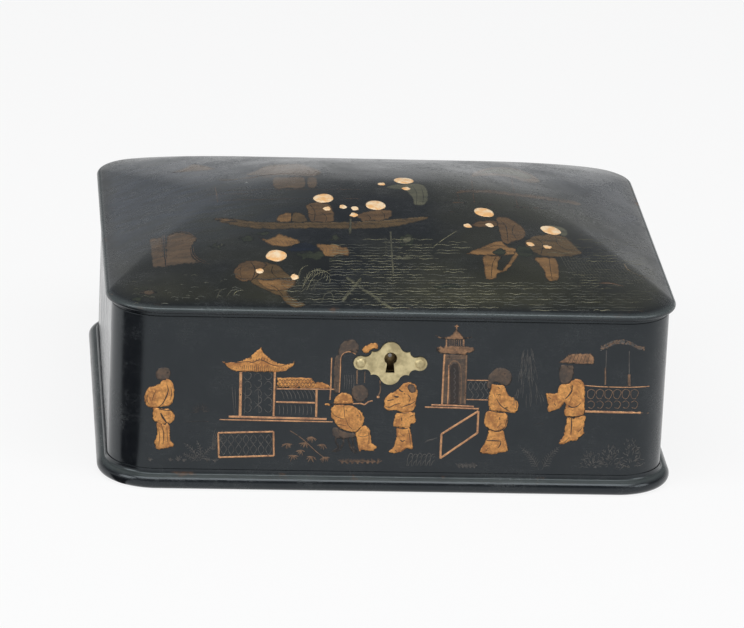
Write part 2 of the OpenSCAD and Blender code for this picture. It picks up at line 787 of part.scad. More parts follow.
module link_plate_screws() {
    color("goldenrod") link_screw_places() screw(screw_head_r, screw_r, lid_screw_l);
}

base_board();
front_board();
back_board();
left_board();
right_board();
corner_posts();
plinth_front();
plinth_right();
plinth_back();
plinth_left();
floor_lining();
wall_lining();
escutcheon();
escutcheon_pins();
lock_plate();
lock_case();
lock_bolt();
bolt_spring();
key_pin();
lock_screws();
left_lower_leaf();
right_lower_leaf();
left_hinge_pin();
right_hinge_pin();
lower_leaf_screws();
left_upper_leaf();
right_upper_leaf();
upper_leaf_screws();
lid_front_rail();
lid_right_rail();
lid_back_rail();
lid_left_rail();
lid_dome();
lid_lining();
face_inlays();
hand_inlays();
link_plate();
link_plate_screws();
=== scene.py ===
"""Looks of the deed box: aged black lacquer with a raised gilt scene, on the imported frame."""
import json
import math
import random

import bmesh
import bpy
import numpy as np
from mathutils import Matrix, Vector, noise
from mathutils.geometry import delaunay_2d_cdt


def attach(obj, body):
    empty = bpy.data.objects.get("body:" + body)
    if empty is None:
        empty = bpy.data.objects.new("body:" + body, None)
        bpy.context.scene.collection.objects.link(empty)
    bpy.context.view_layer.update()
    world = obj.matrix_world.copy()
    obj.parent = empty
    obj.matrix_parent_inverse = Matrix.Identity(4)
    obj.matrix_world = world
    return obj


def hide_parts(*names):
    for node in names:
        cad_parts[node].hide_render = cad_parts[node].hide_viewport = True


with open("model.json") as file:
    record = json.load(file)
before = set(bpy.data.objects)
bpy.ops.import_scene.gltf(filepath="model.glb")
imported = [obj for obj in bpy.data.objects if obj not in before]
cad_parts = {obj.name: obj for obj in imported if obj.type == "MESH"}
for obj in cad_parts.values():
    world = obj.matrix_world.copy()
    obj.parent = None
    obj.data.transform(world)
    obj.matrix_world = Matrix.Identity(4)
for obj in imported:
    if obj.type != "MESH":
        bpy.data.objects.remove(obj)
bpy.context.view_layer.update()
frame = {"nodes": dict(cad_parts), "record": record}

# Noise from mathutils starts from the clock unless it is seeded
noise.seed_set(7)

# Sizes of the box, in millimetres, as the solids have them
WALL_W, WALL_D, CORNER_R = 323.0, 277.0, 28.0
PLINTH_H, PLINTH_OUT, PLINTH_LIP, NOSE_H = 11.0, 5.8, 0.5, 8.0
LID_Z, BAND_Z, RIM_Z = 104.3, 106.5, 110.1
RIM_OUT, DOME_H, DOME_FALL, DOME_EDGE, EASE = 3.5, 32.5, 1.67, 1.1, 14.0
KEY_X, KEY_Z, KEY_D, KEY_H, SLOT_W = -1.5, 81.0, 7.5, 12.4, 3.3
LIP_R = (RIM_Z - BAND_Z) / 2
FOOT_OUT = RIM_OUT - LIP_R
DOME_HALF_W = WALL_W / 2 + FOOT_OUT
DOME_HALF_D = WALL_D / 2 + FOOT_OUT
DOME_R = CORNER_R + FOOT_OUT
MM = 0.001

# Thickness of the lacquer over the wood, and how deep its hidden side lies in it
COAT = 0.12
UNDERCOAT = 0.3

scene = bpy.context.scene


# Camera

PICTURE_W, PICTURE_H = 744, 628
EYE = np.array([-260.58, -3035.25, 1114.14])
TURN, DROP, TILT = math.radians(4.8787), math.radians(19.0972), math.radians(-2.6111)
FOCAL = 5377.48
SENSOR = 36.0


def view_axes():
    """Rows: to the right, down and away, as the camera sees them."""
    away = np.array([math.sin(TURN) * math.cos(DROP), math.cos(TURN) * math.cos(DROP), -math.sin(DROP)])
    right = np.array([math.cos(TURN), -math.sin(TURN), 0.0])
    down = np.cross(away, right)
    c, s = math.cos(TILT), math.sin(TILT)
    return np.vstack([c * right + s * down, -s * right + c * down, away])


AXES = view_axes()


def make_camera():
    data = bpy.data.cameras.new("camera")
    data.sensor_fit = "HORIZONTAL"
    data.sensor_width = SENSOR
    data.lens = FOCAL * SENSOR / PICTURE_W
    data.clip_end = 200
    cam = bpy.data.objects.new("camera", data)
    right, down, away = AXES
    turn = Matrix([[right[i], -down[i], -away[i]] for i in range(3)]).to_4x4()
    cam.matrix_world = Matrix.Translation(Vector(EYE * MM)) @ turn
    scene.collection.objects.link(cam)
    scene.camera = cam


make_camera()


# Meshes

def new_piece(name, verts, faces, smooth=True):
    """A piece from points in millimetres."""
    mesh = bpy.data.meshes.new(name)
    mesh.from_pydata([tuple(c * MM for c in v) for v in verts], [], faces)
    mesh.shade_smooth() if smooth else mesh.shade_flat()
    piece = bpy.data.objects.new(name, mesh)
    scene.collection.objects.link(piece)
    return piece


def settle(piece):
    """Turns a piece with modifiers into a plain mesh."""
    graph = bpy.context.evaluated_depsgraph_get()
    made = bpy.data.meshes.new_from_object(piece.evaluated_get(graph), depsgraph=graph)
    made.name = piece.name
    piece.modifiers.clear()
    piece.data = made
    return piece


def face_out(piece):
    work = bmesh.new()
    work.from_mesh(piece.data)
    bmesh.ops.remove_doubles(work, verts=work.verts, dist=1e-7)
    bmesh.ops.recalc_face_normals(work, faces=work.faces)
    work.to_mesh(piece.data)
    work.free()
    return piece


def round_ring(half_w, half_d, r, z, arc=24, side=12):
    """Points round a rectangle with round corners, anticlockwise from the right side."""
    pts = []
    for k, (sx, sy) in enumerate([(1, 1), (-1, 1), (-1, -1), (1, -1)]):
        cx, cy = sx * (half_w - r), sy * (half_d - r)
        for i in range(arc + 1):
            a = math.pi / 2 * (k + i / arc)
            pts.append((cx + r * math.cos(a), cy + r * math.sin(a), z))
        nx, ny = [(-1, 1), (-1, -1), (1, -1), (1, 1)][k]
        last = pts[-1]
        ahead = math.pi / 2 * (k + 1)
        goal = (nx * (half_w - r) + r * math.cos(ahead), ny * (half_d - r) + r * math.sin(ahead))
        for i in range(1, side):
            t = i / side
            pts.append((last[0] + (goal[0] - last[0]) * t, last[1] + (goal[1] - last[1]) * t, z))
    return pts


def crisp(piece, degrees=30):
    """Keeps the edges between faces that meet at more than the angle from being smoothed over."""
    piece.data.set_sharp_from_angle(angle=math.radians(degrees))
    return piece


def skin(name, rings, closed_top=False):
    """A smooth coat through the rings, with its hidden side in the wood."""
    n = len(rings[0])
    verts = [p for ring in rings for p in ring]
    faces = []
    for j in range(len(rings) - 1):
        for i in range(n):
            k = (i + 1) % n
            faces.append((j * n + i, j * n + k, (j + 1) * n + k, (j + 1) * n + i))
    if closed_top:
        top = (len(rings) - 1) * n
        faces.append(tuple(range(top, top + n)))
    piece = new_piece(name, verts, faces)
    shell = piece.modifiers.new("coat", "SOLIDIFY")
    shell.thickness = UNDERCOAT * MM
    shell.offset = -1
    return crisp(settle(piece))


def case_coat():
    rings = [round_ring(WALL_W / 2 + o, WALL_D / 2 + o, CORNER_R + o, z) for o,
             z in [(COAT, 10.9), (COAT, 60.0), (COAT, 103.4), (0.09, 103.7), (0.03, 103.9), (-0.1, 103.97)]]
    return skin("case_lacquer", rings)


def plinth_coat():
    nose_r = NOSE_H / 2
    hollow_x = PLINTH_OUT - nose_r
    coat = 0.1
    line = [(hollow_x, 0.02)]
    for i in range(1, 25):
        a = math.pi * (i / 24 - 0.5)
        line.append((hollow_x + (nose_r + coat) * math.cos(a),
                     max(0.02, nose_r + (nose_r + coat) * math.sin(a))))
    for i in range(1, 11):
        a = math.pi / 2 * (1 - i / 10)
        line.append((PLINTH_LIP + coat + (hollow_x - PLINTH_LIP - coat) * (1 - math.cos(a)),
                     PLINTH_H + coat - (PLINTH_H - NOSE_H) * math.sin(a)))
    line.append((-0.1, PLINTH_H + coat))
    rings = [round_ring(WALL_W / 2 + o, WALL_D / 2 + o, CORNER_R + o, z) for o, z in line]
    return skin("plinth_lacquer", rings)


def dome_rise(t):
    return (1 - (1 - t) ** DOME_FALL) ** (1 / DOME_EDGE)


def dome_ring_r(inset):
    """Corner radius of the dome's outline at an inset, eased where the straight ends run out."""
    growing = DOME_R + (DOME_HALF_D - DOME_R) * inset / DOME_HALF_D
    return np.maximum(-EASE * np.logaddexp(-growing / EASE, -(DOME_HALF_D - inset) / EASE), 0.3)


DOME_RINGS = 120
LID_ARC = 44
DOME_STOP = 0.985


def lid_coat():
    line = [(-0.1, LID_Z + 0.03), (0.04, LID_Z + 0.08), (COAT, LID_Z + 0.3), (COAT, BAND_Z - COAT)]
    for i in range(25):
        a = math.pi * (i / 24 - 0.5)
        line.append((FOOT_OUT + (LIP_R + COAT) * math.cos(a), BAND_Z + LIP_R + (LIP_R + COAT) * math.sin(a)))
    rings = [round_ring(WALL_W / 2 + o, WALL_D / 2 + o, CORNER_R + o, z, LID_ARC) for o, z in line]
    for i in range(1, DOME_RINGS + 1):
        inset = DOME_HALF_D * DOME_STOP * (i / DOME_RINGS) ** 1.3
        r = float(dome_ring_r(inset))
        z = RIM_Z + COAT + DOME_H * dome_rise(inset / DOME_HALF_D)
        rings.append(round_ring(DOME_HALF_W - inset, DOME_HALF_D - inset, r, z, LID_ARC))
    return skin("lid_lacquer", rings, closed_top=True)


def keyhole_cutter():
    """A prism of the keyhole's outline that passes through the front coat."""
    r = KEY_D / 2 + 0.3
    foot = KEY_Z + KEY_D / 2 - KEY_H
    outline = []
    for i in range(33):
        a = math.radians(-62 + 304 * i / 32)
        outline.append((KEY_X + r * math.cos(a), KEY_Z + r * math.sin(a)))
    outline += [(KEY_X - SLOT_W * 0.8 - 0.3, foot), (KEY_X + SLOT_W * 0.8 + 0.3, foot)]
    n = len(outline)
    verts = [(x, y, z) for y in (-WALL_D / 2 - 1, -WALL_D / 2 + 1) for x, z in outline]
    faces = [tuple(range(n)), tuple(range(2 * n - 1, n - 1, -1))]
    faces += [(i, (i + 1) % n, n + (i + 1) % n, n + i) for i in range(n)]
    return face_out(new_piece("keyhole_cutter", verts, faces, smooth=False))


def pierce(piece, cutter):
    cut = piece.modifiers.new("keyhole", "BOOLEAN")
    cut.operation = "DIFFERENCE"
    cut.solver = "EXACT"
    cut.object = cutter
    crisp(settle(piece))
    bpy.data.objects.remove(cutter)


# Finding the place on the box that a point of the picture shows

def sight(u, v):
    u, v = np.asarray(u, float), np.asarray(v, float)
    d = np.stack([(u - PICTURE_W / 2) / FOCAL, (v - PICTURE_H / 2) / FOCAL, np.ones_like(u)], axis=-1)
    return d @ AXES


def dome_grid(step):
    """Heights of the lid's surface on a grid over its right back quarter."""
    x, y = np.meshgrid(np.arange(0, DOME_HALF_W + 2 * step, step),
                       np.arange(0, DOME_HALF_D + 2 * step, step), indexing="ij")
    low, high = np.zeros_like(x), np.full_like(x, DOME_HALF_D - 0.5)
    for _ in range(26):
        mid = (low + high) / 2
        r = dome_ring_r(mid)
        qx, qy = x - (DOME_HALF_W - mid - r), y - (DOME_HALF_D - mid - r)
        out = np.hypot(np.maximum(qx, 0), np.maximum(qy, 0)) + np.minimum(np.maximum(qx, qy), 0) - r
        high = np.where(out > 0, mid, high)
        low = np.where(out > 0, low, mid)
    return RIM_Z + DOME_H * dome_rise(np.clip(low / DOME_HALF_D, 0, 1)) + COAT


GRID_STEP = 0.5
ABOVE_LID = 160.0
SIGHT_STEPS, SIGHT_HALVINGS = 40, 16
GRID = dome_grid(GRID_STEP)


def dome_height(x, y):
    """Height of the lid's surface over points (x, y)."""
    gx = np.clip(np.abs(x) / GRID_STEP, 0, GRID.shape[0] - 1.001)
    gy = np.clip(np.abs(y) / GRID_STEP, 0, GRID.shape[1] - 1.001)
    i, j = gx.astype(int), gy.astype(int)
    s, t = gx - i, gy - j
    return ((GRID[i, j] * (1 - s) + GRID[i + 1, j] * s) * (1 - t)
            + (GRID[i, j + 1] * (1 - s) + GRID[i + 1, j + 1] * s) * t)


def on_lid(u, v):
    """Points and outward normals of the lid's surface where the picture shows it."""
    d = sight(u, v)
    low = (ABOVE_LID - EYE[2]) / d[:, 2]
    high = (RIM_Z - EYE[2]) / d[:, 2]
    steps = np.linspace(0, 1, SIGHT_STEPS)
    reach = low[:, None] + (high - low)[:, None] * steps
    p = EYE + reach[..., None] * d[:, None, :]
    under = p[..., 2] <= dome_height(p[..., 0], p[..., 1])
    under[:, -1] = True
    hit = under.argmax(axis=1)
    rows = np.arange(len(hit))
    a, b = reach[rows, np.maximum(hit - 1, 0)], reach[rows, hit]
    for _ in range(SIGHT_HALVINGS):
        m = (a + b) / 2
        q = EYE + m[:, None] * d
        inside = q[:, 2] <= dome_height(q[:, 0], q[:, 1])
        b = np.where(inside, m, b)
        a = np.where(inside, a, m)
    q = EYE + b[:, None] * d
    h = GRID_STEP
    gx = (dome_height(q[:, 0] + h, q[:, 1]) - dome_height(q[:, 0] - h, q[:, 1])) / (2 * h)
    gy = (dome_height(q[:, 0], q[:, 1] + h) - dome_height(q[:, 0], q[:, 1] - h)) / (2 * h)
    n = np.stack([-gx, -gy, np.ones_like(gx)], axis=-1)
    return q, n / np.linalg.norm(n, axis=1)[:, None]


def on_front(u, v):
    """The same for the front wall and the round corners beside it."""
    d = sight(u, v)
    s = (-WALL_D / 2 - COAT - EYE[1]) / d[:, 1]
    q = EYE + s[:, None] * d
    n = np.tile([0.0, -1.0, 0.0], (len(q), 1))
    flat = WALL_W / 2 - CORNER_R
    for i in np.nonzero(np.abs(q[:, 0]) > flat)[0]:
        c = np.array([math.copysign(flat, q[i, 0]), CORNER_R - WALL_D / 2])
        o, w, r = EYE[:2] - c, d[i, :2], CORNER_R + COAT
        k = o @ w / (w @ w)
        inner = k * k - (o @ o - r * r) / (w @ w)
        if inner < 0:
            continue
        t = -k - math.sqrt(inner)
        q[i] = EYE + t * d[i]
        n[i, :2] = (q[i, :2] - c) / r
        n[i, 2] = 0
    return q, n


# Painting: raised fills and lines, gathered by finish and turned into one piece each

# Pixels of the picture in a millimetre on the box, and how pads are laid, in millimetres
PX_PER_MM = 1.71
PAD_LIFT, PAD_ROOT, PAD_STEP = 0.004, 0.1, 1.3

# What has been laid so far: surface, rim, edge, height and corners of each pad
PADS = []


def relief(surface, u, v):
    """How far the pads laid so far stand above the surface at these places of the picture."""
    height = np.zeros(len(u))
    for owner, rim, edge, top, low, high in PADS:
        near = (u > low[0]) & (u < high[0]) & (v > low[1]) & (v < high[1])
        if owner is surface and near.any():
            spots = np.nonzero(near)[0]
            inside, gap = inside_and_gap(np.stack([u[spots], v[spots]], axis=1), rim)
            swell = top * np.sqrt(np.clip(1 - (1 - np.clip(gap / edge, 0, 1)) ** 2, 0, 1))
            height[spots] += np.where(inside, swell, 0)
    return height


class Panel:
    """A part of the picture: its corner and scale there, and the surface that it lies on."""

    def __init__(self, surface, u, v, scale):
        self.surface, self.u, self.v, self.scale = surface, u, v, scale

    def spots(self, pts):
        pts = np.asarray(pts, float)
        return self.u + pts[:, 0] / self.scale, self.v + pts[:, 1] / self.scale

    def place(self, pts):
        """Points on the surface with what lies on it, and the surface's normals."""
        u, v = self.spots(pts)
        q, n = self.surface(u, v)
        return q + n * relief(self.surface, u, v)[:, None], n


def smooth_outline(pts, closed=True, steps=5):
    """A smooth curve through the points."""
    p = np.asarray(pts, float)
    n = len(p)
    out = []
    last = n if closed else n - 1
    for i in range(last):
        if closed:
            a, b, c, d = p[(i - 1) % n], p[i], p[(i + 1) % n], p[(i + 2) % n]
        else:
            a, b, c, d = p[max(i - 1, 0)], p[i], p[i + 1], p[min(i + 2, n - 1)]
        for k in range(steps):
            t = k / steps
            out.append(0.5 * (2 * b + (c - a) * t + (2 * a - 5 * b + 4 * c - d) * t * t
                              + (3 * b - a - 3 * c + d) * t ** 3))
    if not closed:
        out.append(p[-1])
    return np.array(out)


class Gilding:
    """Everything in one finish on one body: fills become pads, lines become half-sunk cords."""

    def __init__(self, name, body, finish, pad_finish=None):
        self.name, self.body, self.finish = name, body, finish
        self.pad_finish = pad_finish or finish
        self.verts, self.faces, self.depths = [], [], []
        self.paths = []
        self.count = 0

    def fill(self, panel, outline, height=0.25, edge=1.0, smooth=True, ragged=0.18, fine=1.0):
        """A pad inside the outline, raised by height with a rounded edge, both in millimetres."""
        unit = panel.scale * PX_PER_MM
        rim = smooth_outline(outline) if smooth else dense(list(outline) + [outline[0]], panel, 0.8)[:-1]
        for i, (x, y) in enumerate(rim):
            at = Vector((x, y, self.count * 7.0)) / (0.9 * unit)
            rim[i] += np.array(noise.noise_vector(at))[:2] * ragged * unit * 2
        step = PAD_STEP * unit * fine
        low, high = rim.min(0), rim.max(0)
        inner = []
        rows = int((high[1] - low[1]) / (step * 0.6)) + 1
        for j in range(rows):
            y = low[1] + (j + 0.5) * step * 0.6
            shift = 0.5 * step * (j % 2)
            for x in np.arange(low[0] + shift, high[0], step):
                inner.append((x, y))
        inner = np.array(inner).reshape(-1, 2)
        inside, gap = inside_and_gap(inner, rim)
        inner = inner[inside & (gap > 0.35 * unit)]
        pts = [Vector(p) for p in np.vstack([rim, inner])] if len(inner) else [Vector(p) for p in rim]
        ring = list(range(len(rim)))
        verts, _, faces, *_ = delaunay_2d_cdt(pts, [], [ring], 1, 1e-4)
        flat = np.array([tuple(p) for p in verts])
        _, gap = inside_and_gap(flat, rim)
        raise_by = np.sqrt(np.clip(1 - (1 - np.clip(gap / (edge * unit), 0, 1)) ** 2, 0, 1)) * height
        q, n = panel.place(flat)
        self.count += 1
        top = q + n * (raise_by + PAD_LIFT)[:, None]
        foot = q - n * PAD_ROOT
        u, v = panel.spots(rim)
        shape = np.stack([u, v], axis=1)
        PADS.append((panel.surface, shape, edge * PX_PER_MM, height, shape.min(0), shape.max(0)))
        start = len(self.verts)
        self.verts += [tuple(p) for p in top] + [tuple(p) for p in foot]
        m = len(flat)
        self.depths += list(np.clip(gap / (1.6 * unit), 0, 1)) + [0.0] * m
        used = {}
        turn = winding(top, n, faces)
        for f in faces:
            f = f if turn else f[::-1]
            self.faces.append(tuple(start + i for i in f))
            self.faces.append(tuple(start + m + i for i in reversed(f)))
            for a, b in zip(f, f[1:] + f[:1]):
                used[(a, b)] = used.get((a, b), 0) + 1
        for a, b in used:
            if (b, a) not in used:
                self.faces.append((start + b, start + a, start + m + a, start + m + b))

    def line(self, panel, pts, width, smooth=True, taper=0.0):
        """A raised line of the width in millimetres, thinned towards both ends by taper."""
        p = smooth_outline(pts, closed=False, steps=4) if smooth and len(pts) > 2 else dense(pts, panel)
        q, n = panel.place(p)
        if panel.surface is on_lid and (np.abs(q[:, :2]) > (DOME_HALF_W - 2, DOME_HALF_D - 2)).any():
            return
        t = np.linspace(-1, 1, len(q))
        sunk, chord = (0.8, 1.2) if panel.surface is on_lid else (0.6, 1.6)
        r = width * (1 - taper * np.abs(t) ** 2) / chord
        self.paths.append((q - n * (sunk * r)[:, None], r))

    def finish_piece(self):
        pieces = []
        if self.faces:
            pads = new_piece(self.name + "_pads", self.verts, self.faces)
            deep = pads.data.attributes.new("depth", "FLOAT", "POINT")
            deep.data.foreach_set("value", self.depths)
            pieces.append(pads)
            if self.body == "lid":
                crisp(pads, 35)
        if self.paths:
            pieces.append(draw_lines(self.name + "_lines", self.paths, self.finish))
        for piece in pieces:
            piece.data.materials.clear()
            piece.data.materials.append(self.pad_finish if piece.name.endswith("_pads") else self.finish)
            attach(piece, self.body)
        return pieces


def dense(pts, panel, gap=4.7):
    """Extra points along a straight path at most gap apart, so that it follows a curved surface."""
    p = np.asarray(pts, float)
    out = []
    for a, b in zip(p[:-1], p[1:]):
        n = max(1, int(np.linalg.norm(b - a) / (panel.scale * PX_PER_MM * gap)))
        out += [a + (b - a) * k / n for k in range(n)]
    out.append(p[-1])
    return np.array(out)


def winding(top, n, faces):
    total = 0.0
    for f in faces[:40]:
        a, b, c = (top[i] for i in f[:3])
        total += np.dot(np.cross(b - a, c - a), n[f[0]])
    return total > 0


def inside_and_gap(pts, rim):
    """For each point: whether it is inside the outline, and its distance from it."""
    if not len(pts):
        return np.zeros(0, bool), np.zeros(0)
    a, b = rim, np.roll(rim, -1, axis=0)
    x, y = pts[:, 0, None], pts[:, 1, None]
    crossing = (a[:, 1] > y) != (b[:, 1] > y)
    with np.errstate(divide="ignore", invalid="ignore"):
        at = (b[:, 0] - a[:, 0]) * (y - a[:, 1]) / (b[:, 1] - a[:, 1]) + a[:, 0]
    inside = (crossing & (x < at)).sum(axis=1) % 2 == 1
    ab = b - a
    along = ((x - a[:, 0]) * ab[:, 0] + (y - a[:, 1]) * ab[:, 1]) / np.maximum((ab ** 2).sum(1), 1e-9)
    along = np.clip(along, 0, 1)
    gap = np.hypot(x - a[:, 0] - along * ab[:, 0], y - a[:, 1] - along * ab[:, 1]).min(axis=1)
    return inside, gap


def line_tree():
    """Geometry Nodes: each path becomes a round cord of its own radius."""
    tree = bpy.data.node_groups.new("raised_line", "GeometryNodeTree")
    tree.interface.new_socket("Paths", in_out="INPUT", socket_type="NodeSocketGeometry")
    sides = tree.interface.new_socket("Sides", in_out="INPUT", socket_type="NodeSocketInt")
    sides.default_value = 8
    finish = tree.interface.new_socket("Finish", in_out="INPUT", socket_type="NodeSocketMaterial")
    tree.interface.new_socket("Lines", in_out="OUTPUT", socket_type="NodeSocketGeometry")
    new, link = tree.nodes.new, tree.links.new
    start, end = new("NodeGroupInput"), new("NodeGroupOutput")
    curve, cord = new("GeometryNodeMeshToCurve"), new("GeometryNodeCurveToMesh")
    ring, thick = new("GeometryNodeCurvePrimitiveCircle"), new("GeometryNodeInputNamedAttribute")
    soft, coat = new("GeometryNodeSetShadeSmooth"), new("GeometryNodeSetMaterial")
    real = new("GeometryNodeRealizeInstances")
    thick.data_type = "FLOAT"
    thick.inputs["Name"].default_value = "half_width"
    ring.inputs["Radius"].default_value = 1.0
    link(start.outputs["Sides"], ring.inputs["Resolution"])
    link(start.outputs["Paths"], curve.inputs["Mesh"])
    link(curve.outputs["Curve"], cord.inputs["Curve"])
    link(thick.outputs["Attribute"], cord.inputs["Scale"])
    link(ring.outputs["Curve"], cord.inputs["Profile Curve"])
    cord.inputs["Fill Caps"].default_value = True
    link(cord.outputs["Mesh"], soft.inputs["Geometry"])
    link(soft.outputs["Geometry"], real.inputs["Geometry"])
    link(real.outputs["Geometry"], coat.inputs["Geometry"])
    link(start.outputs["Finish"], coat.inputs["Material"])
    link(coat.outputs["Geometry"], end.inputs["Lines"])
    return tree, sides.identifier, finish.identifier


LINE_TREE, LINE_SIDES, LINE_FINISH = line_tree()


def draw_lines(name, paths, finish):
    verts, edges, widths = [], [], []
    for pts, r in paths:
        start = len(verts)
        verts += [tuple(c * MM for c in p) for p in pts]
        edges += [(start + i, start + i + 1) for i in range(len(pts) - 1)]
        widths += [w * MM for w in r]
    mesh = bpy.data.meshes.new(name)
    mesh.from_pydata(verts, edges, [])
    attribute = mesh.attributes.new("half_width", "FLOAT", "POINT")
    attribute.data.foreach_set("value", widths)
    piece = bpy.data.objects.new(name, mesh)
    scene.collection.objects.link(piece)
    cords = piece.modifiers.new("lines", "NODES")
    cords.node_group = LINE_TREE
    cords[LINE_SIDES] = 8
    cords[LINE_FINISH] = finish
    return settle(piece)


# Finishes

class Finish:
    """A material and short calls for its nodes."""

    def __init__(self, name):
        self.material = bpy.data.materials.new(name)
        self.material.use_nodes = True
        self.tree = self.material.node_tree
        self.shader = self.tree.nodes["Principled BSDF"]
        self.at = self.node("ShaderNodeTexCoord").outputs["Object"]

    def node(self, kind, **values):
        n = self.tree.nodes.new(kind)
        for key, value in values.items():
            setattr(n, key, value)
        return n

    def feed(self, socket, value):
        if hasattr(value, "is_linked"):
            self.tree.links.new(value, socket)
        elif isinstance(value, tuple) and len(value) == 3 and socket.type == "RGBA":
            socket.default_value = (*value, 1)
        else:
            socket.default_value = value

    def moved(self, scale=(1, 1, 1), turn=(0, 0, 0), shift=(0, 0, 0), source=None):
        n = self.node("ShaderNodeMapping")
        self.feed(n.inputs["Vector"], source or self.at)
        n.inputs["Scale"].default_value = scale
        n.inputs["Rotation"].default_value = turn
        n.inputs["Location"].default_value = shift
        return n.outputs["Vector"]

    def cloud(self, scale, detail=4.0, rough=0.5, twist=0.0, source=None):
        n = self.node("ShaderNodeTexNoise")
        self.feed(n.inputs["Vector"], source or self.at)
        n.inputs["Scale"].default_value = scale
        n.inputs["Detail"].default_value = detail
        n.inputs["Roughness"].default_value = rough
        n.inputs["Distortion"].default_value = twist
        return n.outputs["Fac"]

    def between(self, value, low, high, to_low=0.0, to_high=1.0):
        n = self.node("ShaderNodeMapRange", clamp=True)
        self.feed(n.inputs["Value"], value)
        for name, v in zip(("From Min", "From Max", "To Min", "To Max"), (low, high, to_low, to_high)):
            n.inputs[name].default_value = v
        return n.outputs["Result"]

    def sum(self, operation, a, b=0.0):
        n = self.node("ShaderNodeMath", operation=operation)
        self.feed(n.inputs[0], a)
        self.feed(n.inputs[1], b)
        return n.outputs["Value"]

    def mix(self, fac, a, b, blend="MIX"):
        n = self.node("ShaderNodeMix", data_type="RGBA", blend_type=blend)
        self.feed(n.inputs[0], fac)
        self.feed(n.inputs[6], a)
        self.feed(n.inputs[7], b)
        return n.outputs[2]

    def part(self, axis):
        n = self.node("ShaderNodeSeparateXYZ")
        self.feed(n.inputs[0], self.at)
        return n.outputs[axis]

    def bumps(self, height, depth, strength=1.0, under=None):
        n = self.node("ShaderNodeBump")
        self.feed(n.inputs["Height"], height)
        n.inputs["Distance"].default_value = depth
        n.inputs["Strength"].default_value = strength
        if under is not None:
            self.feed(n.inputs["Normal"], under)
        return n.outputs["Normal"]

    def coat(self, **values):
        for key, value in values.items():
            self.feed(self.shader.inputs[key.replace("_", " ")], value)
        return self.material


def varnish(f, soft=0.0):
    """Uneven gloss, fine scratches and dust, the same over the lacquer and what is painted under it."""
    blotch = f.cloud(45, 6, 0.62)
    grain = f.cloud(420, 5, 0.7)
    hair = f.cloud(70, 6, 0.75, source=f.moved(scale=(0.5, 6, 9), turn=(0.1, 0.15, 0.35)))
    scratch = f.between(f.sum("ABSOLUTE", f.sum("SUBTRACT", hair, 0.5)), 0.0, 0.012, 1.0, 0.0)
    scratch = f.sum("MULTIPLY", scratch, f.between(blotch, 0.48, 0.62))
    dust = f.sum("MULTIPLY", f.between(grain, 0.45, 0.75), f.between(blotch, 0.35, 0.7))
    gloss = f.between(f.cloud(30, 5, 0.6), 0.3, 0.75, 0.12 + soft, 0.26 + soft)
    gloss = f.sum("ADD", gloss, f.sum("MULTIPLY", dust, 0.22))
    waves = f.bumps(f.cloud(28, 2, 0.4), 0.00025, 0.5)
    normal = f.bumps(f.sum("ADD", scratch, f.sum("MULTIPLY", grain, 0.35)), 0.00004, 0.6, under=waves)
    return blotch, scratch, dust, gloss, normal


def lacquer(name, olive=None, rim=None, haze=0.5, soft=0.0, edge=None, painted_sheen=None):
    """Black lacquer: dust haze, fine scratches, rubbed and chipped places, painted sheen in grey over the
    lid's left and back, and painted highlights as pale bands along edge crests.
    """
    f = Finish(name)
    blotch, scratch, dust, gloss, normal = varnish(f, soft)
    base = f.mix(f.between(blotch, 0.3, 0.7), (0.0046, 0.0056, 0.0074), (0.0088, 0.0102, 0.0124))
    base = f.mix(f.sum("MULTIPLY", dust, haze), base, (0.042, 0.045, 0.047))
    if olive:
        tint = f.sum("MULTIPLY", f.between(f.cloud(9, 3, 0.5), 0.35, 0.65), olive)
        tint = f.sum("MULTIPLY", tint, f.between(f.part("Z"), 0.1105, 0.1140))
        base = f.mix(tint, base, (0.036, 0.035, 0.021))
    # Painted sheen: a streaky pale grey over the dome's left part and its back part, fading towards the
    # front
    if painted_sheen:
        streak = f.cloud(60, 5, 0.6, source=f.moved(scale=(0.5, 3, 3), turn=(0, 0, 0.2)))
        painted_sheen_mask = f.sum("MULTIPLY", f.between(f.part("X"), -0.02, -0.115),
                     f.between(streak, 0.32, 0.64, 0.35, 1.0))
        painted_sheen_mask = f.sum("MULTIPLY", painted_sheen_mask, f.between(f.part("Y"), -0.09, -0.02))
        behind = f.sum("MULTIPLY", f.between(f.part("Y"), -0.02, 0.07, 0.0, 0.6),
                       f.between(streak, 0.32, 0.64, 0.5, 1.0))
        painted_sheen_mask = f.sum("MAXIMUM", painted_sheen_mask, behind)
        painted_sheen_mask = f.sum("MULTIPLY", painted_sheen_mask, f.between(f.part("Z"), 0.1105, 0.1140))
        base = f.mix(painted_sheen_mask, base, painted_sheen)
    # Painted highlight: a pale, blotchy band along the crest between the two heights given by edge
    if edge:
        low, high, amount = edge
        painted_highlight = f.sum("MULTIPLY", f.between(f.part("Z"), low, (low + high) / 2),
                      f.between(f.part("Z"), (low + high) / 2, high, 1.0, 0.0))
        painted_highlight = f.sum("MULTIPLY", painted_highlight, f.between(blotch, 0.2, 0.75, 0.6 * amount, amount))
        base = f.mix(painted_highlight, base, (0.105, 0.122, 0.120))
    base = f.mix(f.sum("MULTIPLY", scratch, 0.3), base, (0.10, 0.10, 0.095))
    if rim:
        low, high, amount = rim
        band = f.between(f.part("Z"), low, high)
        band = f.sum("MULTIPLY", band, f.between(f.part("Z"), high + 0.0003, high + 0.0016, 1.0, 0.0))
        rubbed = f.sum("MULTIPLY", band, f.between(f.cloud(60, 6, 0.7), 0.60, 0.68))
        base = f.mix(f.sum("MULTIPLY", rubbed, amount), base, (0.16, 0.075, 0.035))
    f.shader.inputs["Specular Tint"].default_value = (0.86, 0.95, 1.0, 1)
    return f.coat(Base_Color=base, Roughness=gloss, IOR=1.5, Normal=normal)


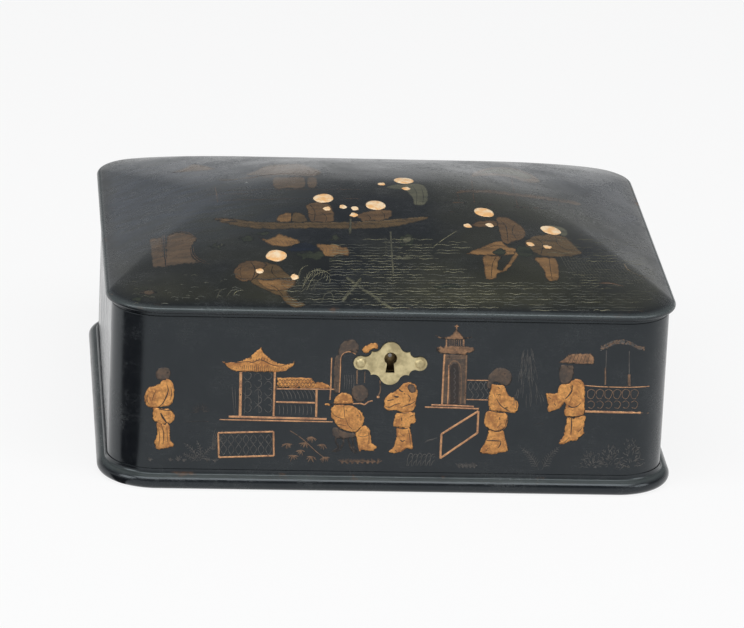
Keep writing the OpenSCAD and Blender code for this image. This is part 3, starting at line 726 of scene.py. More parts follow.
def wash(name, tone, shade, cover=0.85, pad=True, spots=0.35):
    """Thin paint under the varnish: streaky, and worn away towards its edges."""
    f = Finish(name)
    _, _, dust, gloss, normal = varnish(f, 0.06)
    streak = f.cloud(150, 5, 0.62, source=f.moved(scale=(0.45, 1.6, 1.6), turn=(0, 0, 0.1)))
    speck = f.cloud(520, 4, 0.7)
    paint = f.mix(f.between(streak, 0.36, 0.62), shade, tone)
    paint = f.mix(f.between(speck, 0.58, 0.72, 0, spots), paint, tuple(min(1, 1.7 * c) for c in tone))
    bare = f.cloud(300, 5, 0.7)
    if pad:
        deep = f.node("ShaderNodeAttribute", attribute_name="depth").outputs["Fac"]
        held = f.between(f.sum("ADD", deep, f.sum("MULTIPLY", bare, 1.1)), 0.55, 1.05)
    else:
        held = f.between(bare, 0.34, 0.46)
    base = f.mix(f.sum("MULTIPLY", held, cover), (0.0075, 0.0082, 0.0085), paint)
    base = f.mix(f.sum("MULTIPLY", dust, 0.2), base, (0.045, 0.047, 0.046))
    f.shader.inputs["Specular Tint"].default_value = (0.86, 0.95, 1.0, 1)
    return f.coat(Base_Color=base, Roughness=gloss, IOR=1.5, Normal=normal)


def gilding(name, tone, shade, worn=0.5, metal=0.35, rough=0.5, pad=True, ground=(0.012, 0.009, 0.008)):
    """Gold powder over size: warm, uneven, rubbed through to the lacquer in spots and at its edges."""
    f = Finish(name)
    drift = f.cloud(190, 4, 0.6)
    fine = f.cloud(620, 5, 0.72)
    base = f.mix(f.between(drift, 0.38, 0.62), shade, tone)
    bright = tuple(min(1.0, c * 1.6) for c in tone)
    base = f.mix(f.between(fine, 0.52, 0.70, 0, 0.75), base, bright)
    base = f.mix(f.between(fine, 0.46, 0.34, 0, 0.6), base, tuple(c * 0.45 for c in shade))
    rub = f.sum("ADD", f.cloud(360, 6, 0.72), f.sum("MULTIPLY", drift, 0.3))
    if pad:
        deep = f.node("ShaderNodeAttribute", attribute_name="depth").outputs["Fac"]
        rub = f.sum("ADD", rub, f.between(deep, 0.0, 0.45, 0.16, 0.0))
    rub = f.between(rub, 0.86 - 0.28 * worn, 0.92 - 0.25 * worn)
    base = f.mix(rub, base, ground)
    dull = f.between(fine, 0.3, 0.7, rough - 0.1, rough + 0.15)
    normal = f.bumps(f.sum("SUBTRACT", fine, rub), 0.00010, 0.8)
    return f.coat(Base_Color=base, Roughness=dull, Metallic=metal, IOR=1.5, Normal=normal)


def bone():
    """Polished bone, cream, with a warm stain in blotches and fine dark grain."""
    f = Finish("polished_bone")
    grain = f.cloud(700, 4, 0.6, source=f.moved(scale=(1, 4, 1)))
    stain = f.cloud(210, 3, 0.55)
    base = f.mix(f.between(stain, 0.40, 0.60), (0.90, 0.70, 0.46), (0.84, 0.47, 0.19))
    base = f.mix(f.between(grain, 0.60, 0.74, 0, 0.45), base, (0.45, 0.22, 0.09))
    normal = f.bumps(grain, 0.00005, 0.5)
    return f.coat(Base_Color=base, Roughness=0.35, IOR=1.5, Normal=normal)


def old_brass(name="aged_brass", tone=(0.46, 0.39, 0.22), dark=(0.20, 0.16, 0.085)):
    f = Finish(name)
    stain = f.cloud(160, 5, 0.62)
    fine = f.cloud(1400, 3, 0.6)
    base = f.mix(f.between(stain, 0.40, 0.62), dark, tone)
    base = f.mix(f.between(fine, 0.6, 0.8, 0, 0.5), base, (0.62, 0.56, 0.38))
    return f.coat(Base_Color=base, Metallic=0.75, Roughness=f.between(stain, 0.3, 0.7, 0.55, 0.38),
                  Normal=f.bumps(f.sum("ADD", stain, f.sum("MULTIPLY", fine, 0.3)), 0.00005, 0.6))


def old_steel():
    f = Finish("dull_steel")
    stain = f.cloud(220, 5, 0.65)
    base = f.mix(f.between(stain, 0.5, 0.68), (0.33, 0.32, 0.31), (0.14, 0.085, 0.05))
    return f.coat(Base_Color=base, Metallic=0.9, Roughness=f.between(stain, 0.4, 0.7, 0.36, 0.62),
                  Normal=f.bumps(stain, 0.00004, 0.5))


def bare_wood():
    f = Finish("bare_wood")
    along = f.moved(scale=(1.6, 26, 26))
    rings = f.cloud(14, 6, 0.6, 1.4, source=along)
    pores = f.cloud(60, 4, 0.6, source=along)
    base = f.mix(f.between(rings, 0.35, 0.65), (0.17, 0.090, 0.045), (0.34, 0.21, 0.12))
    base = f.mix(f.between(pores, 0.58, 0.72, 0, 0.7), base, (0.09, 0.05, 0.028))
    return f.coat(Base_Color=base, Roughness=0.72, Normal=f.bumps(pores, 0.0002, 0.5))


def lining_paper():
    f = Finish("lining_paper")
    fade = f.cloud(14, 4, 0.6)
    fibre = f.cloud(900, 5, 0.7, source=f.moved(scale=(1, 2.2, 1)))
    spot = f.cloud(70, 5, 0.7)
    base = f.mix(f.between(fade, 0.35, 0.65), (0.24, 0.030, 0.028), (0.36, 0.075, 0.055))
    base = f.mix(f.between(fibre, 0.5, 0.75, 0, 0.35), base, (0.46, 0.16, 0.12))
    base = f.mix(f.between(spot, 0.68, 0.74, 0, 0.6), base, (0.10, 0.028, 0.02))
    return f.coat(Base_Color=base, Roughness=0.85, Sheen_Weight=0.15,
                  Normal=f.bumps(f.sum("ADD", fibre, fade), 0.00012, 0.6))


BLACK = lacquer("aged_black_lacquer", haze=0.35)
# The edge bands of the lid and the plinth are painted highlights; the lid's grey over the dome's left and
# back is painted sheen.
LID_BLACK = lacquer("lid_lacquer_finish", olive=0.9, rim=(0.1080, 0.1101, 0.5), haze=0.5, soft=0.07,
                    edge=(0.1080, 0.1110, 0.75), painted_sheen=(0.037, 0.045, 0.060))
PLINTH_BLACK = lacquer("plinth_lacquer_finish", rim=(0.0065, 0.0085, 0.5), haze=0.6,
                        edge=(0.0062, 0.0096, 0.62))
GOLD = gilding("worn_gold", (0.68, 0.325, 0.097), (0.37, 0.155, 0.052), worn=0.34)
LINE_GOLD = gilding("thin_gold", (0.62, 0.330, 0.160), (0.35, 0.175, 0.095), worn=0.35, pad=False)
DIM_GOLD = gilding("dim_gold", (0.24, 0.140, 0.080), (0.12, 0.072, 0.046), worn=0.5, metal=0.2, pad=False)
DIM_PAD = gilding("dim_gold_pads", (0.30, 0.165, 0.085), (0.15, 0.085, 0.050), worn=0.5, metal=0.2)
FADED = gilding("faded_brown", (0.112, 0.073, 0.049), (0.055, 0.042, 0.034), worn=0.5, metal=0.1, rough=0.5)
GREY = gilding("faint_grey", (0.110, 0.100, 0.090), (0.060, 0.056, 0.052), worn=0.5, metal=0.1, rough=0.5,
               pad=False)
INK = gilding("dark_ink", (0.022, 0.012, 0.009), (0.012, 0.008, 0.007), worn=0.1, metal=0.0, rough=0.4,
              pad=False)
BROWN = wash("brown_wash", (0.130, 0.080, 0.034), (0.070, 0.045, 0.022))
RUST = wash("rust_wash", (0.150, 0.085, 0.038), (0.082, 0.048, 0.025))
OCHRE = wash("ochre_wash", (0.270, 0.145, 0.055), (0.135, 0.075, 0.032))
OLIVE = wash("olive_wash", (0.130, 0.125, 0.078), (0.070, 0.070, 0.048), cover=0.8)
MOSS = wash("moss_wash", (0.040, 0.046, 0.026), (0.016, 0.020, 0.014), cover=0.7)
DUSK = wash("faint_brown_wash", (0.135, 0.088, 0.052), (0.078, 0.055, 0.037), cover=0.82)
NIGHT = wash("blue_black_wash", (0.008, 0.012, 0.024), (0.005, 0.008, 0.015), cover=0.9, spots=0.1)
REED = wash("reed_lines", (0.265, 0.248, 0.145), (0.150, 0.140, 0.090), cover=0.8, pad=False)
REED_DIM = wash("faint_reed_lines", (0.120, 0.115, 0.076), (0.066, 0.065, 0.048), cover=0.75, pad=False)
TWIG = wash("twig_lines", (0.22, 0.155, 0.085), (0.120, 0.085, 0.050), cover=0.85, pad=False)
RUST_LINE = wash("rust_lines", (0.165, 0.090, 0.050), (0.090, 0.052, 0.032), cover=0.75, pad=False)
SHADE = wash("shade_lines", (0.012, 0.010, 0.008), (0.007, 0.006, 0.006), cover=0.9, pad=False, spots=0.05)
CHIP = wash("bare_ground", (0.52, 0.54, 0.53), (0.34, 0.35, 0.34), spots=0.1)
BONE = bone()
BRASS = old_brass("pale_brass", (0.66, 0.56, 0.32), (0.40, 0.33, 0.18))
LOCK_BRASS = old_brass("lock_brass", (0.46, 0.33, 0.15), (0.17, 0.115, 0.055))
STEEL = old_steel()
WOOD = bare_wood()
LINING = lining_paper()


# Coats on the case, the plinth and the lid

case_lacquer = case_coat()
pierce(case_lacquer, keyhole_cutter())
plinth_lacquer = plinth_coat()
lid_lacquer = lid_coat()
for piece, body, finish in [(case_lacquer, "case", BLACK), (plinth_lacquer, "case", PLINTH_BLACK),
                            (lid_lacquer, "lid", LID_BLACK)]:
    piece.data.materials.clear()
    piece.data.materials.append(finish)
    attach(piece, body)

# Finishes of the solids that show as they are

BY_SLOT = {"black_lacquer": BLACK, "bare_wood": WOOD, "brass": BRASS, "lock_brass": LOCK_BRASS,
           "lock_steel": STEEL, "lining": LINING, "inlay": BONE}
for row in frame["record"]["subparts"]:
    node = frame["nodes"][row["node"]]
    for place in node.material_slots:
        place.material = BY_SLOT[row["material_slot"]]


# The scene on the front

front_gold = Gilding("front_gold", "case", GOLD)
front_lines = Gilding("front_thin_gold", "case", LINE_GOLD)
front_dim = Gilding("front_dim_gold", "case", DIM_GOLD, DIM_PAD)
front_faded = Gilding("front_faded", "case", FADED)
front_grey = Gilding("front_grey", "case", GREY)
front_ink = Gilding("front_ink", "case", INK)


def left_figure():
    p = Panel(on_front, 135, 355, 15.68)
    front_faded.fill(p, [(400, 200), (470, 190), (530, 215), (560, 270), (545, 340), (500, 385), (420, 395),
                         (350, 375), (325, 310), (345, 240)], 0.2)
    front_gold.fill(p, [(400, 430), (340, 470), (280, 495), (225, 505), (175, 570), (148, 650), (152, 730),
                        (180, 790), (230, 820), (300, 828), (380, 820), (460, 805), (540, 795), (590, 740),
                        (615, 640), (615, 530), (595, 450), (550, 395), (490, 375), (440, 395)], 0.45, 1.6)
    front_gold.fill(p, [(290, 830), (380, 835), (470, 840), (560, 850), (600, 900), (625, 970), (600, 1035),
                        (550, 1075), (510, 1060), (450, 1085), (400, 1095), (340, 1055), (285, 1030),
                        (275, 950), (285, 880)], 0.35, 1.4)
    front_gold.fill(p, [(340, 1060), (400, 1090), (460, 1085), (520, 1075), (545, 1150), (550, 1250),
                        (560, 1340), (600, 1390), (610, 1430), (560, 1442), (500, 1460), (430, 1470),
                        (380, 1480), (340, 1465), (310, 1410), (300, 1345), (330, 1300), (345, 1200),
                        (335, 1120)], 0.3, 1.2)
    for pts, w in [([(505, 470), (520, 550), (490, 650), (430, 760), (370, 812)], 0.7),
                   ([(560, 500), (575, 600), (550, 700)], 0.45), ([(370, 845), (470, 862), (575, 870)], 0.5),
                   ([(330, 560), (290, 640), (270, 720)], 0.35), ([(210, 600), (190, 700), (230, 780)],
                                                                  0.35), ([(415, 1100), (450, 1230),
                                                                           (440, 1400)], 0.5),
                   ([(370, 1150), (385, 1300), (370, 1420)], 0.35), ([(500, 1120), (505, 1260), (520, 1400)],
                                                                     0.35), ([(400, 905), (440, 980),
                                                                              (495, 1055)], 1.3)]:
        front_ink.line(p, pts, w, taper=0.6)


def pavilion():
    p = Panel(on_front, 215, 335, 12.06)
    front_gold.fill(p, [(85, 315), (120, 345), (150, 390), (215, 430), (300, 442), (450, 445), (600, 445),
                        (760, 445), (860, 432), (910, 395), (950, 365), (975, 318), (900, 345), (830, 352),
                        (760, 340), (690, 300), (620, 245), (585, 222), (575, 165), (558, 145), (540, 165),
                        (520, 178), (495, 200), (450, 240), (390, 278), (330, 308), (250, 325), (170, 332)],
                    0.3, 0.8, smooth=False)
    front_ink.line(p, [(235, 335), (330, 325), (400, 318), (455, 330), (520, 300), (575, 305), (640, 335),
                       (700, 362), (790, 372), (860, 352)], 0.45, taper=0.3)
    for k in range(28):
        x = 215 + k * 23.5
        top = 360 if 300 < x < 700 else 385
        front_ink.line(p, [(x, top + 8 * (k % 3)), (x + 6, 438)], 0.32, smooth=False)
    for k in range(9):
        x = 420 + k * 34
        front_ink.line(p, [(x, 300 - abs(4 - k) * -8), (x + 14, 262 + abs(4 - k) * 14)], 0.3, smooth=False)
    for x0, x1, top, foot, w in [(312, 302, 448, 975, 1.75), (722, 706, 448, 975, 1.3),
                                 (1226, 1220, 655, 988, 1.3)]:
        front_lines.line(p, [(x0, top), (x1, foot)], w, smooth=False)
    front_gold.fill(p, [(745, 515), (900, 512), (1050, 514), (1160, 520), (1205, 570), (1290, 568),
                        (1345, 592), (1405, 632), (1380, 645), (1240, 640), (1000, 638), (745, 634)], 0.25,
                    0.6, smooth=False)
    for row, y in enumerate((545, 580, 612)):
        for k in range(11):
            x = 762 + k * 42 + 21 * (row % 2)
            front_ink.line(p, [(x - 18, y - 14), (x, y + 10), (x + 18, y - 14)], 0.34)
    front_lines.line(p, [(742, 650), (1440, 655)], 0.8, smooth=False)
    front_lines.line(p, [(735, 808), (1205, 818)], 1.1, smooth=False)
    front_lines.line(p, [(165, 985), (760, 1000), (1345, 1015)], 1.4, smooth=False)
    front_lines.line(p, [(55, 1020), (760, 1035), (1420, 1048)], 0.9, smooth=False, taper=0.4)
    for k in range(9):
        x = 790 + k * 48
        front_grey.line(p, [(x, 668), (x + 30, 720), (x + 44, 775)], 0.4, taper=0.7)
        front_grey.line(p, [(x - 20, 842), (x - 10, 900), (x - 18, 965)], 0.4, taper=0.7)
    for col in range(3):
        for row in range(5):
            x, y = 395 + col * 125, 500 + row * 98
            s = 1 if (col + row) % 2 else -1
            front_grey.line(p, [(x - 50, y), (x - 12, y - 40 * s), (x + 30, y - 20 * s),
                                (x + 40, y + 30 * s), (x, y + 48 * s)], 0.38, taper=0.6)
    for x, lean in [(205, 30), (240, 14), (370, -16), (520, 12)]:
        front_grey.line(p, [(x, 620), (x + lean / 2, 800), (x + lean, 965)], 0.35, taper=0.8)


left_figure()
pavilion()


def seated_figure():
    p = Panel(on_front, 315, 380, 19.6)
    front_faded.fill(p, [(730, 160), (800, 105), (890, 92), (980, 125), (1038, 205), (1040, 315), (980, 395),
                         (885, 428), (790, 405), (740, 330), (715, 235)], 0.15, 1.2)
    front_faded.fill(p, [(345, 950), (420, 930), (520, 985), (640, 1030), (790, 1050), (800, 1120),
                         (640, 1140), (560, 1150), (410, 1130), (345, 1050)], 0.15, 0.8)
    for pts in ([(420, 1120), (405, 1200), (450, 1290), (440, 1340), (330, 1400)],
                [(540, 1140), (560, 1210), (520, 1310), (480, 1370), (370, 1405)],
                [(640, 1130), (680, 1270), (725, 1370), (810, 1435)],
                [(735, 1130), (750, 1250), (765, 1350), (845, 1400)]):
        front_faded.line(p, pts, 1.2, taper=0.3)
    front_gold.fill(p, [(370, 455), (385, 385), (430, 315), (500, 262), (580, 243), (660, 266), (720, 325),
                        (746, 390), (746, 452), (600, 468), (450, 468)], 0.45, 1.4)
    front_gold.fill(p, [(380, 482), (332, 525), (312, 600), (320, 700), (360, 785), (400, 850), (470, 930),
                        (560, 980), (680, 1010), (800, 1020), (880, 962), (940, 870), (965, 765), (950, 680),
                        (900, 612), (820, 560), (740, 512), (640, 492), (490, 488)], 0.55, 2.0)
    front_gold.fill(p, [(800, 1012), (880, 945), (965, 890), (1032, 922), (1082, 1000), (1100, 1100),
                        (1100, 1215), (1160, 1270), (1222, 1302), (1180, 1350), (1130, 1390), (1000, 1380),
                        (925, 1375), (888, 1402), (850, 1340), (830, 1250), (812, 1150), (792, 1065)], 0.4,
                    1.4)
    front_gold.fill(p, [(180, 480), (250, 452), (335, 458), (335, 492), (250, 502)], 0.15, 0.5)
    front_lines.line(p, [(740, 466), (900, 462), (970, 482), (1040, 430), (1130, 408)], 0.8)
    front_lines.line(p, [(1210, 335), (1262, 335)], 1.4, smooth=False)
    for pts, w in [([(390, 478), (480, 470), (560, 476)], 0.9), ([(600, 476), (680, 470), (745, 470)], 0.9),
                   ([(562, 490), (572, 600), (580, 730)], 0.45),
                   ([(335, 640), (400, 700), (480, 738), (570, 762)], 0.4),
                   ([(395, 855), (500, 872), (610, 890)], 0.4),
                   ([(600, 740), (640, 860), (720, 950), (800, 960)], 0.35),
                   ([(830, 590), (890, 680), (900, 780)], 0.35), ([(800, 1020), (860, 985), (920, 985)],
                                                                  0.35), ([(860, 1090), (940, 1110),
                                                                           (1040, 1080)], 0.35),
                   ([(1040, 1010), (1060, 1120), (1050, 1250)], 0.35)]:
        front_ink.line(p, pts, w, taper=0.6)


def doorway():
    p = Panel(on_front, 325, 330, 22.4)
    front_faded.fill(p, [(290, 545), (310, 420), (370, 305), (470, 228), (580, 205), (690, 252), (742, 340),
                         (748, 440), (700, 530), (620, 492), (500, 492), (420, 548), (376, 640), (368, 900),
                         (350, 1250), (335, 1400), (205, 1400), (195, 1100), (205, 700), (245, 590)], 0.08,
                     0.8)
    front_lines.line(p, [(150, 620), (140, 900), (128, 1290), (112, 1560)], 0.75)
    front_lines.line(p, [(348, 640), (345, 900), (330, 1240), (318, 1400)], 0.6)
    front_lines.line(p, [(352, 640), (372, 575), (430, 515), (510, 490), (600, 500), (692, 545)], 0.5)
    front_dim.line(p, [(722, 900), (712, 1210)], 0.8, smooth=False)
    front_dim.line(p, [(895, 930), (885, 1180)], 0.5, smooth=False)
    front_dim.line(p, [(1232, 1130), (1240, 1350), (1192, 1480)], 0.7)
    for k in range(5):
        front_grey.line(p, [(430 + 52 * k, 1000), (442 + 52 * k, 1150), (430 + 52 * k, 1330)], 0.35,
                        taper=0.7)
    front_gold.fill(p, [(830, 460), (868, 380), (955, 332), (1058, 292), (1150, 292), (1188, 368),
                        (1158, 428), (1060, 420), (1000, 472), (955, 520), (880, 508)], 0.2, 0.8)


def man_with_sleeve():
    p = Panel(on_front, 375, 375, 18.44)
    front_gold.fill(p, [(330, 322), (380, 288), (440, 250), (490, 190), (560, 142), (650, 130), (720, 156),
                        (765, 215), (785, 300), (780, 400), (755, 480), (748, 560), (710, 640), (640, 682),
                        (560, 690), (480, 690), (410, 660), (330, 650), (260, 664), (200, 640), (166, 580),
                        (165, 500), (188, 430), (240, 368), (290, 332)], 0.5, 1.8)
    front_faded.fill(p, [(622, 175), (700, 172), (748, 235), (742, 310), (680, 325), (625, 295), (602, 235)],
                     0.08, 0.6)
    front_gold.fill(p, [(400, 690), (480, 690), (600, 682), (722, 690), (748, 760), (755, 840), (720, 900),
                        (662, 908), (640, 960), (560, 972), (450, 960), (350, 942), (340, 880), (358, 790),
                        (376, 730)], 0.4, 1.4)
    front_gold.fill(p, [(402, 960), (520, 972), (640, 960), (665, 1050), (680, 1180), (690, 1280),
                        (706, 1352), (640, 1368), (590, 1352), (520, 1392), (430, 1430), (330, 1440),
                        (255, 1422), (275, 1390), (332, 1340), (370, 1240), (392, 1120), (400, 1030)], 0.35,
                    1.3)
    for pts, w in [([(488, 780), (495, 840)], 1.1), ([(484, 912), (494, 922)], 0.9),
                   ([(360, 958), (480, 985), (560, 988), (645, 966)], 0.55),
                   ([(225, 470), (290, 456), (345, 446)], 0.7), ([(350, 380), (400, 400), (440, 392)], 1.1),
                   ([(440, 262), (480, 292), (520, 300)], 0.8), ([(560, 190), (575, 205)], 0.8),
                   ([(190, 575), (270, 590), (370, 540), (470, 520)], 0.55),
                   ([(480, 600), (560, 560), (660, 530), (740, 480)], 0.6),
                   ([(400, 670), (500, 700), (620, 690)], 0.5), ([(600, 350), (650, 420), (620, 500)], 0.5),
                   ([(460, 1190), (500, 1220), (550, 1200)], 0.7), ([(470, 1080), (540, 1120)], 0.5),
                   ([(610, 1000), (640, 1150), (650, 1320)], 0.4), ([(370, 1380), (400, 1410)], 0.9),
                   ([(640, 760), (700, 740)], 0.8)]:
        front_ink.line(p, pts, w, taper=0.5)


def pagoda():
    p = Panel(on_front, 425, 320, 10.45)
    front_dim.fill(p, [(330, 88), (352, 122), (385, 155), (420, 180), (495, 180), (445, 200), (330, 205),
                       (215, 200), (145, 190), (110, 158), (165, 180), (250, 172), (290, 145), (312, 112)],
                   0.2, 0.6, smooth=False)
    front_lines.line(p, [(333, 52), (331, 92)], 0.7, smooth=False)
    front_lines.line(p, [(312, 66), (352, 66)], 0.5, smooth=False)
    for k in range(9):
        front_dim.line(p, [(232 + 20 * k, 206), (232 + 20 * k, 270)], 0.35, smooth=False)
    for x in (222, 406):
        front_lines.line(p, [(x, 204), (x, 272)], 0.5, smooth=False)
    front_faded.fill(p, [(205, 355), (438, 362), (432, 520), (425, 680), (415, 880), (180, 880), (188, 700),
                         (196, 520)], 0.08, 0.6, smooth=False)
    front_dim.fill(p, [(115, 285), (140, 275), (260, 270), (400, 272), (510, 286), (520, 310), (498, 340),
                       (440, 345), (430, 366), (205, 352), (150, 345), (120, 322)], 0.25, 0.7, smooth=False)
    front_ink.fill(p, [(262, 880), (262, 700), (262, 520), (278, 470), (305, 445), (335, 458), (352, 500),
                       (354, 700), (350, 880)], 0.06, 0.5, smooth=False)
    front_lines.line(p, [(205, 360), (196, 500), (186, 700), (178, 880)], 1.1)
    front_lines.line(p, [(248, 470), (244, 700), (236, 880)], 0.75)
    front_dim.line(p, [(246, 500), (268, 446), (305, 428), (345, 442), (372, 490)], 0.7)
    front_dim.line(p, [(372, 490), (380, 640), (372, 880)], 0.5)
    front_dim.line(p, [(434, 365), (428, 600), (416, 880)], 1.0)
    for y in (372, 386, 400):
        front_dim.line(p, [(212, y), (432, y + 4)], 0.35, smooth=False)
    for k in range(6):
        front_grey.line(p, [(300 + 8 * (k % 2), 500 + 62 * k), (318, 530 + 62 * k), (298, 556 + 62 * k)],
                        0.35)
    front_lines.line(p, [(65, 886), (300, 894), (512, 905)], 1.0, smooth=False)
    front_lines.line(p, [(0, 910), (300, 918), (562, 928)], 0.9, smooth=False)
    front_lines.line(p, [(440, 630), (742, 633)], 0.6, smooth=False)
    front_lines.line(p, [(434, 831), (662, 836)], 0.6, smooth=False)
    for k in range(4):
        x = 475 + 54 * k
        front_grey.line(p, [(x, 645), (x + 26, 690), (x, 735), (x - 20, 690), (x, 645)], 0.35)
        front_grey.line(p, [(x + 6, 745), (x + 30, 785), (x + 6, 822)], 0.35)
    corners = [(160, 1445), (172, 1192), (558, 952), (548, 1180), (160, 1445)]
    for a, b in zip(corners[:-1], corners[1:]):
        front_lines.line(p, [a, b], 1.3, smooth=False)


def woman():
    p = Panel(on_front, 475, 355, 14.93)
    front_faded.fill(p, [(175, 440), (190, 370), (215, 300), (280, 220), (360, 190), (450, 202), (520, 245),
                         (552, 315), (545, 392), (505, 450), (430, 455), (330, 402), (260, 425), (235, 520),
                         (190, 500)], 0.3, 1.2)
    front_gold.fill(p, [(250, 440), (330, 446), (430, 458), (470, 540), (520, 620), (590, 640), (640, 700),
                        (646, 790), (620, 850), (570, 870), (510, 856), (440, 850), (330, 832), (232, 830),
                        (206, 760), (202, 640), (216, 560), (240, 500)], 0.5, 1.6)
    front_gold.fill(p, [(192, 840), (300, 832), (440, 862), (490, 900), (490, 1000), (460, 1080),
                        (400, 1120), (300, 1140), (220, 1110), (160, 1070), (136, 1000), (150, 900)], 0.45,
                    1.5)
    front_gold.fill(p, [(196, 1105), (300, 1136), (420, 1122), (440, 1200), (465, 1300), (502, 1410),
                        (430, 1450), (350, 1460), (300, 1482), (200, 1475), (72, 1462), (70, 1430),
                        (122, 1350), (170, 1260), (190, 1180)], 0.4, 1.4)
    for pts, w in [([(320, 650), (380, 745), (460, 805), (525, 842)], 0.6),
                   ([(170, 1275), (280, 1276), (385, 1282)], 0.7), ([(385, 1282), (378, 1330), (338, 1392)],
                                                                    0.7), ([(195, 1385), (160, 1432)], 0.8),
                   ([(220, 822), (320, 852), (430, 862)], 0.5), ([(200, 1102), (290, 1134), (380, 1132),
                                                                  (450, 1062)], 0.6),
                   ([(450, 1062), (470, 980), (492, 900)], 0.45), ([(345, 480), (370, 500)], 1.0),
                   ([(232, 790), (236, 830)], 0.9), ([(365, 925), (370, 965)], 1.1),
                   ([(330, 1080), (400, 1010)], 0.5), ([(600, 660), (625, 740), (600, 820)], 0.35),
                   ([(280, 560), (300, 620)], 0.4)]:
        front_ink.line(p, pts, w, taper=0.5)


def right_group():
    p = Panel(on_front, 540, 340, 13.63)
    front_dim.fill(p, [(250, 312), (330, 250), (400, 186), (560, 180), (700, 186), (742, 232), (735, 330),
                       (500, 325)], 0.25, 0.8, smooth=False)
    for k in range(8):
        front_ink.line(p, [(330 + 52 * k, 312), (385 + 48 * k, 205)], 0.35, smooth=False)
    front_faded.fill(p, [(280, 352), (370, 340), (450, 352), (462, 440), (440, 520), (395, 592), (292, 592),
                         (262, 480)], 0.2, 1.0)
    front_gold.fill(p, [(290, 602), (390, 596), (440, 545), (500, 532), (560, 545), (600, 600), (612, 700),
                        (612, 850), (612, 950), (600, 1010), (540, 1040), (470, 1046), (400, 1040),
                        (345, 1040), (330, 980), (350, 880), (330, 850), (290, 910), (220, 950), (130, 980),
                        (104, 950), (104, 870), (98, 810), (78, 735), (112, 718), (170, 730), (230, 722),
                        (250, 655)], 0.5, 1.6)
    front_gold.fill(p, [(376, 1050), (480, 1056), (612, 1030), (616, 1120), (592, 1220), (600, 1270),
                        (560, 1320), (490, 1372), (400, 1382), (320, 1420), (260, 1412), (272, 1370),
                        (320, 1310), (340, 1200), (360, 1120)], 0.35, 1.3)
    for pts, w in [([(440, 610), (430, 690), (395, 745), (345, 800)], 0.9),
                   ([(380, 880), (430, 912), (500, 902), (560, 850)], 0.6),
                   ([(425, 1060), (430, 1160), (418, 1290)], 0.7), ([(380, 905), (440, 918)], 0.9),
                   ([(520, 760), (526, 770)], 0.7), ([(345, 1036), (450, 1050), (600, 1020)], 0.5),
                   ([(190, 860), (215, 890)], 0.9), ([(110, 770), (150, 800)], 0.8),
                   ([(520, 1250), (570, 1200)], 0.7), ([(330, 1390), (400, 1330)], 0.5),
                   ([(440, 760), (400, 850)], 0.4), ([(560, 600), (520, 560)], 0.5)]:
        front_ink.line(p, pts, w, taper=0.5)
    front_lines.line(p, [(610, 620), (760, 632), (900, 640), (1250, 645), (1490, 630)], 0.55)
    front_lines.line(p, [(612, 975), (980, 985), (1370, 992)], 1.35, smooth=False)
    front_dim.line(p, [(1370, 992), (1480, 996)], 0.6, smooth=False)
    front_dim.line(p, [(890, 380), (892, 520), (888, 610)], 0.9)
    front_grey.line(p, [(905, 140), (900, 380)], 0.5, smooth=False)
    front_grey.line(p, [(1218, 150), (1216, 480)], 0.5, smooth=False)
    front_dim.line(p, [(1216, 470), (1215, 625)], 1.6, smooth=False)
    for k in range(6):
        x = 700 + 118 * k
        front_dim.line(p, [(x - 50, 700), (x, 672), (x + 52, 712), (x + 10, 800), (x - 46, 780),
                           (x - 50, 700)], 0.36)
        front_dim.line(p, [(x - 46, 850), (x, 830), (x + 44, 870), (x + 12, 930), (x - 40, 920)], 0.36)
    rng = random.Random(7)
    for _ in range(210):
        t = rng.random()
        x = 830 + 600 * t
        y = 112 - 95 * math.sin(math.pi * min(1, t * 1.1)) + rng.uniform(-18, 34)
        leaf = [(x - rng.uniform(10, 22), y + rng.uniform(-6, 6)), (x, y),
                (x + rng.uniform(8, 20), y + rng.uniform(-8, 8))]
        (front_dim if rng.random() < 0.45 else front_grey).line(p, leaf, 0.55, taper=0.6)


seated_figure()
doorway()
man_with_sleeve()
pagoda()
woman()
right_group()


def fence():
    p = Panel(on_front, 90, 300, 5.058)
    corners = [(648, 672), (928, 666), (930, 788), (652, 796), (648, 672)]
    for a, b in zip(corners[:-1], corners[1:]):
        front_lines.line(p, [a, b], 1.1, smooth=False)
    for k in range(7):
        x = 675 + 38 * k
        for s in (-1, 1):
            front_grey.line(p, [(x, 680), (x + 15 * s, 705), (x, 730), (x - 15 * s, 755), (x, 784)], 0.34)


def along(stem, t):
    """The place at the share t of a stem's length, and the way that the stem runs there."""
    pts = np.asarray(stem, float)
    run = np.concatenate([[0.0], np.cumsum(np.hypot(*np.diff(pts, axis=0).T))])
    here, ahead = (np.array([np.interp(s * run[-1], run, pts[:, i]) for i in (0, 1)]) for s in (t, t + 0.04))
    return here, (ahead - here) / np.hypot(*(ahead - here))


def frond(group, panel, stem, leaf, pairs):
    """A bent stem with leaflets in pairs that shorten towards its tip."""
    group.line(panel, stem, 0.26, taper=0.5)
    for k in range(pairs):
        t = 0.12 + 0.8 * k / pairs
        spot, way = along(stem, t)
        across = np.array([-way[1], way[0]])
        for side in (-1, 1):
            tip = spot + leaf * (1.05 - 0.75 * t) * (0.55 * way + 0.8 * side * across)
            mid = (spot + tip) / 2 + 0.12 * leaf * way
            group.line(panel, [tuple(spot), tuple(mid), tuple(tip)], 0.26, taper=0.6)


def leaf_star(group, panel, x, y, reach, n, rng):
    """Narrow leaves that hang from one point."""
    for k in range(n):
        a = math.radians(10 + 160 * (k + 0.5) / n) + rng.uniform(-0.25, 0.25)
        r = reach * rng.uniform(0.6, 1.0)
        group.line(panel, [(x, y), (x + 0.5 * r * math.cos(a), y + 0.4 * r * math.sin(a)),
                           (x + r * math.cos(a), y + r * math.sin(a))], 0.5, taper=0.75)


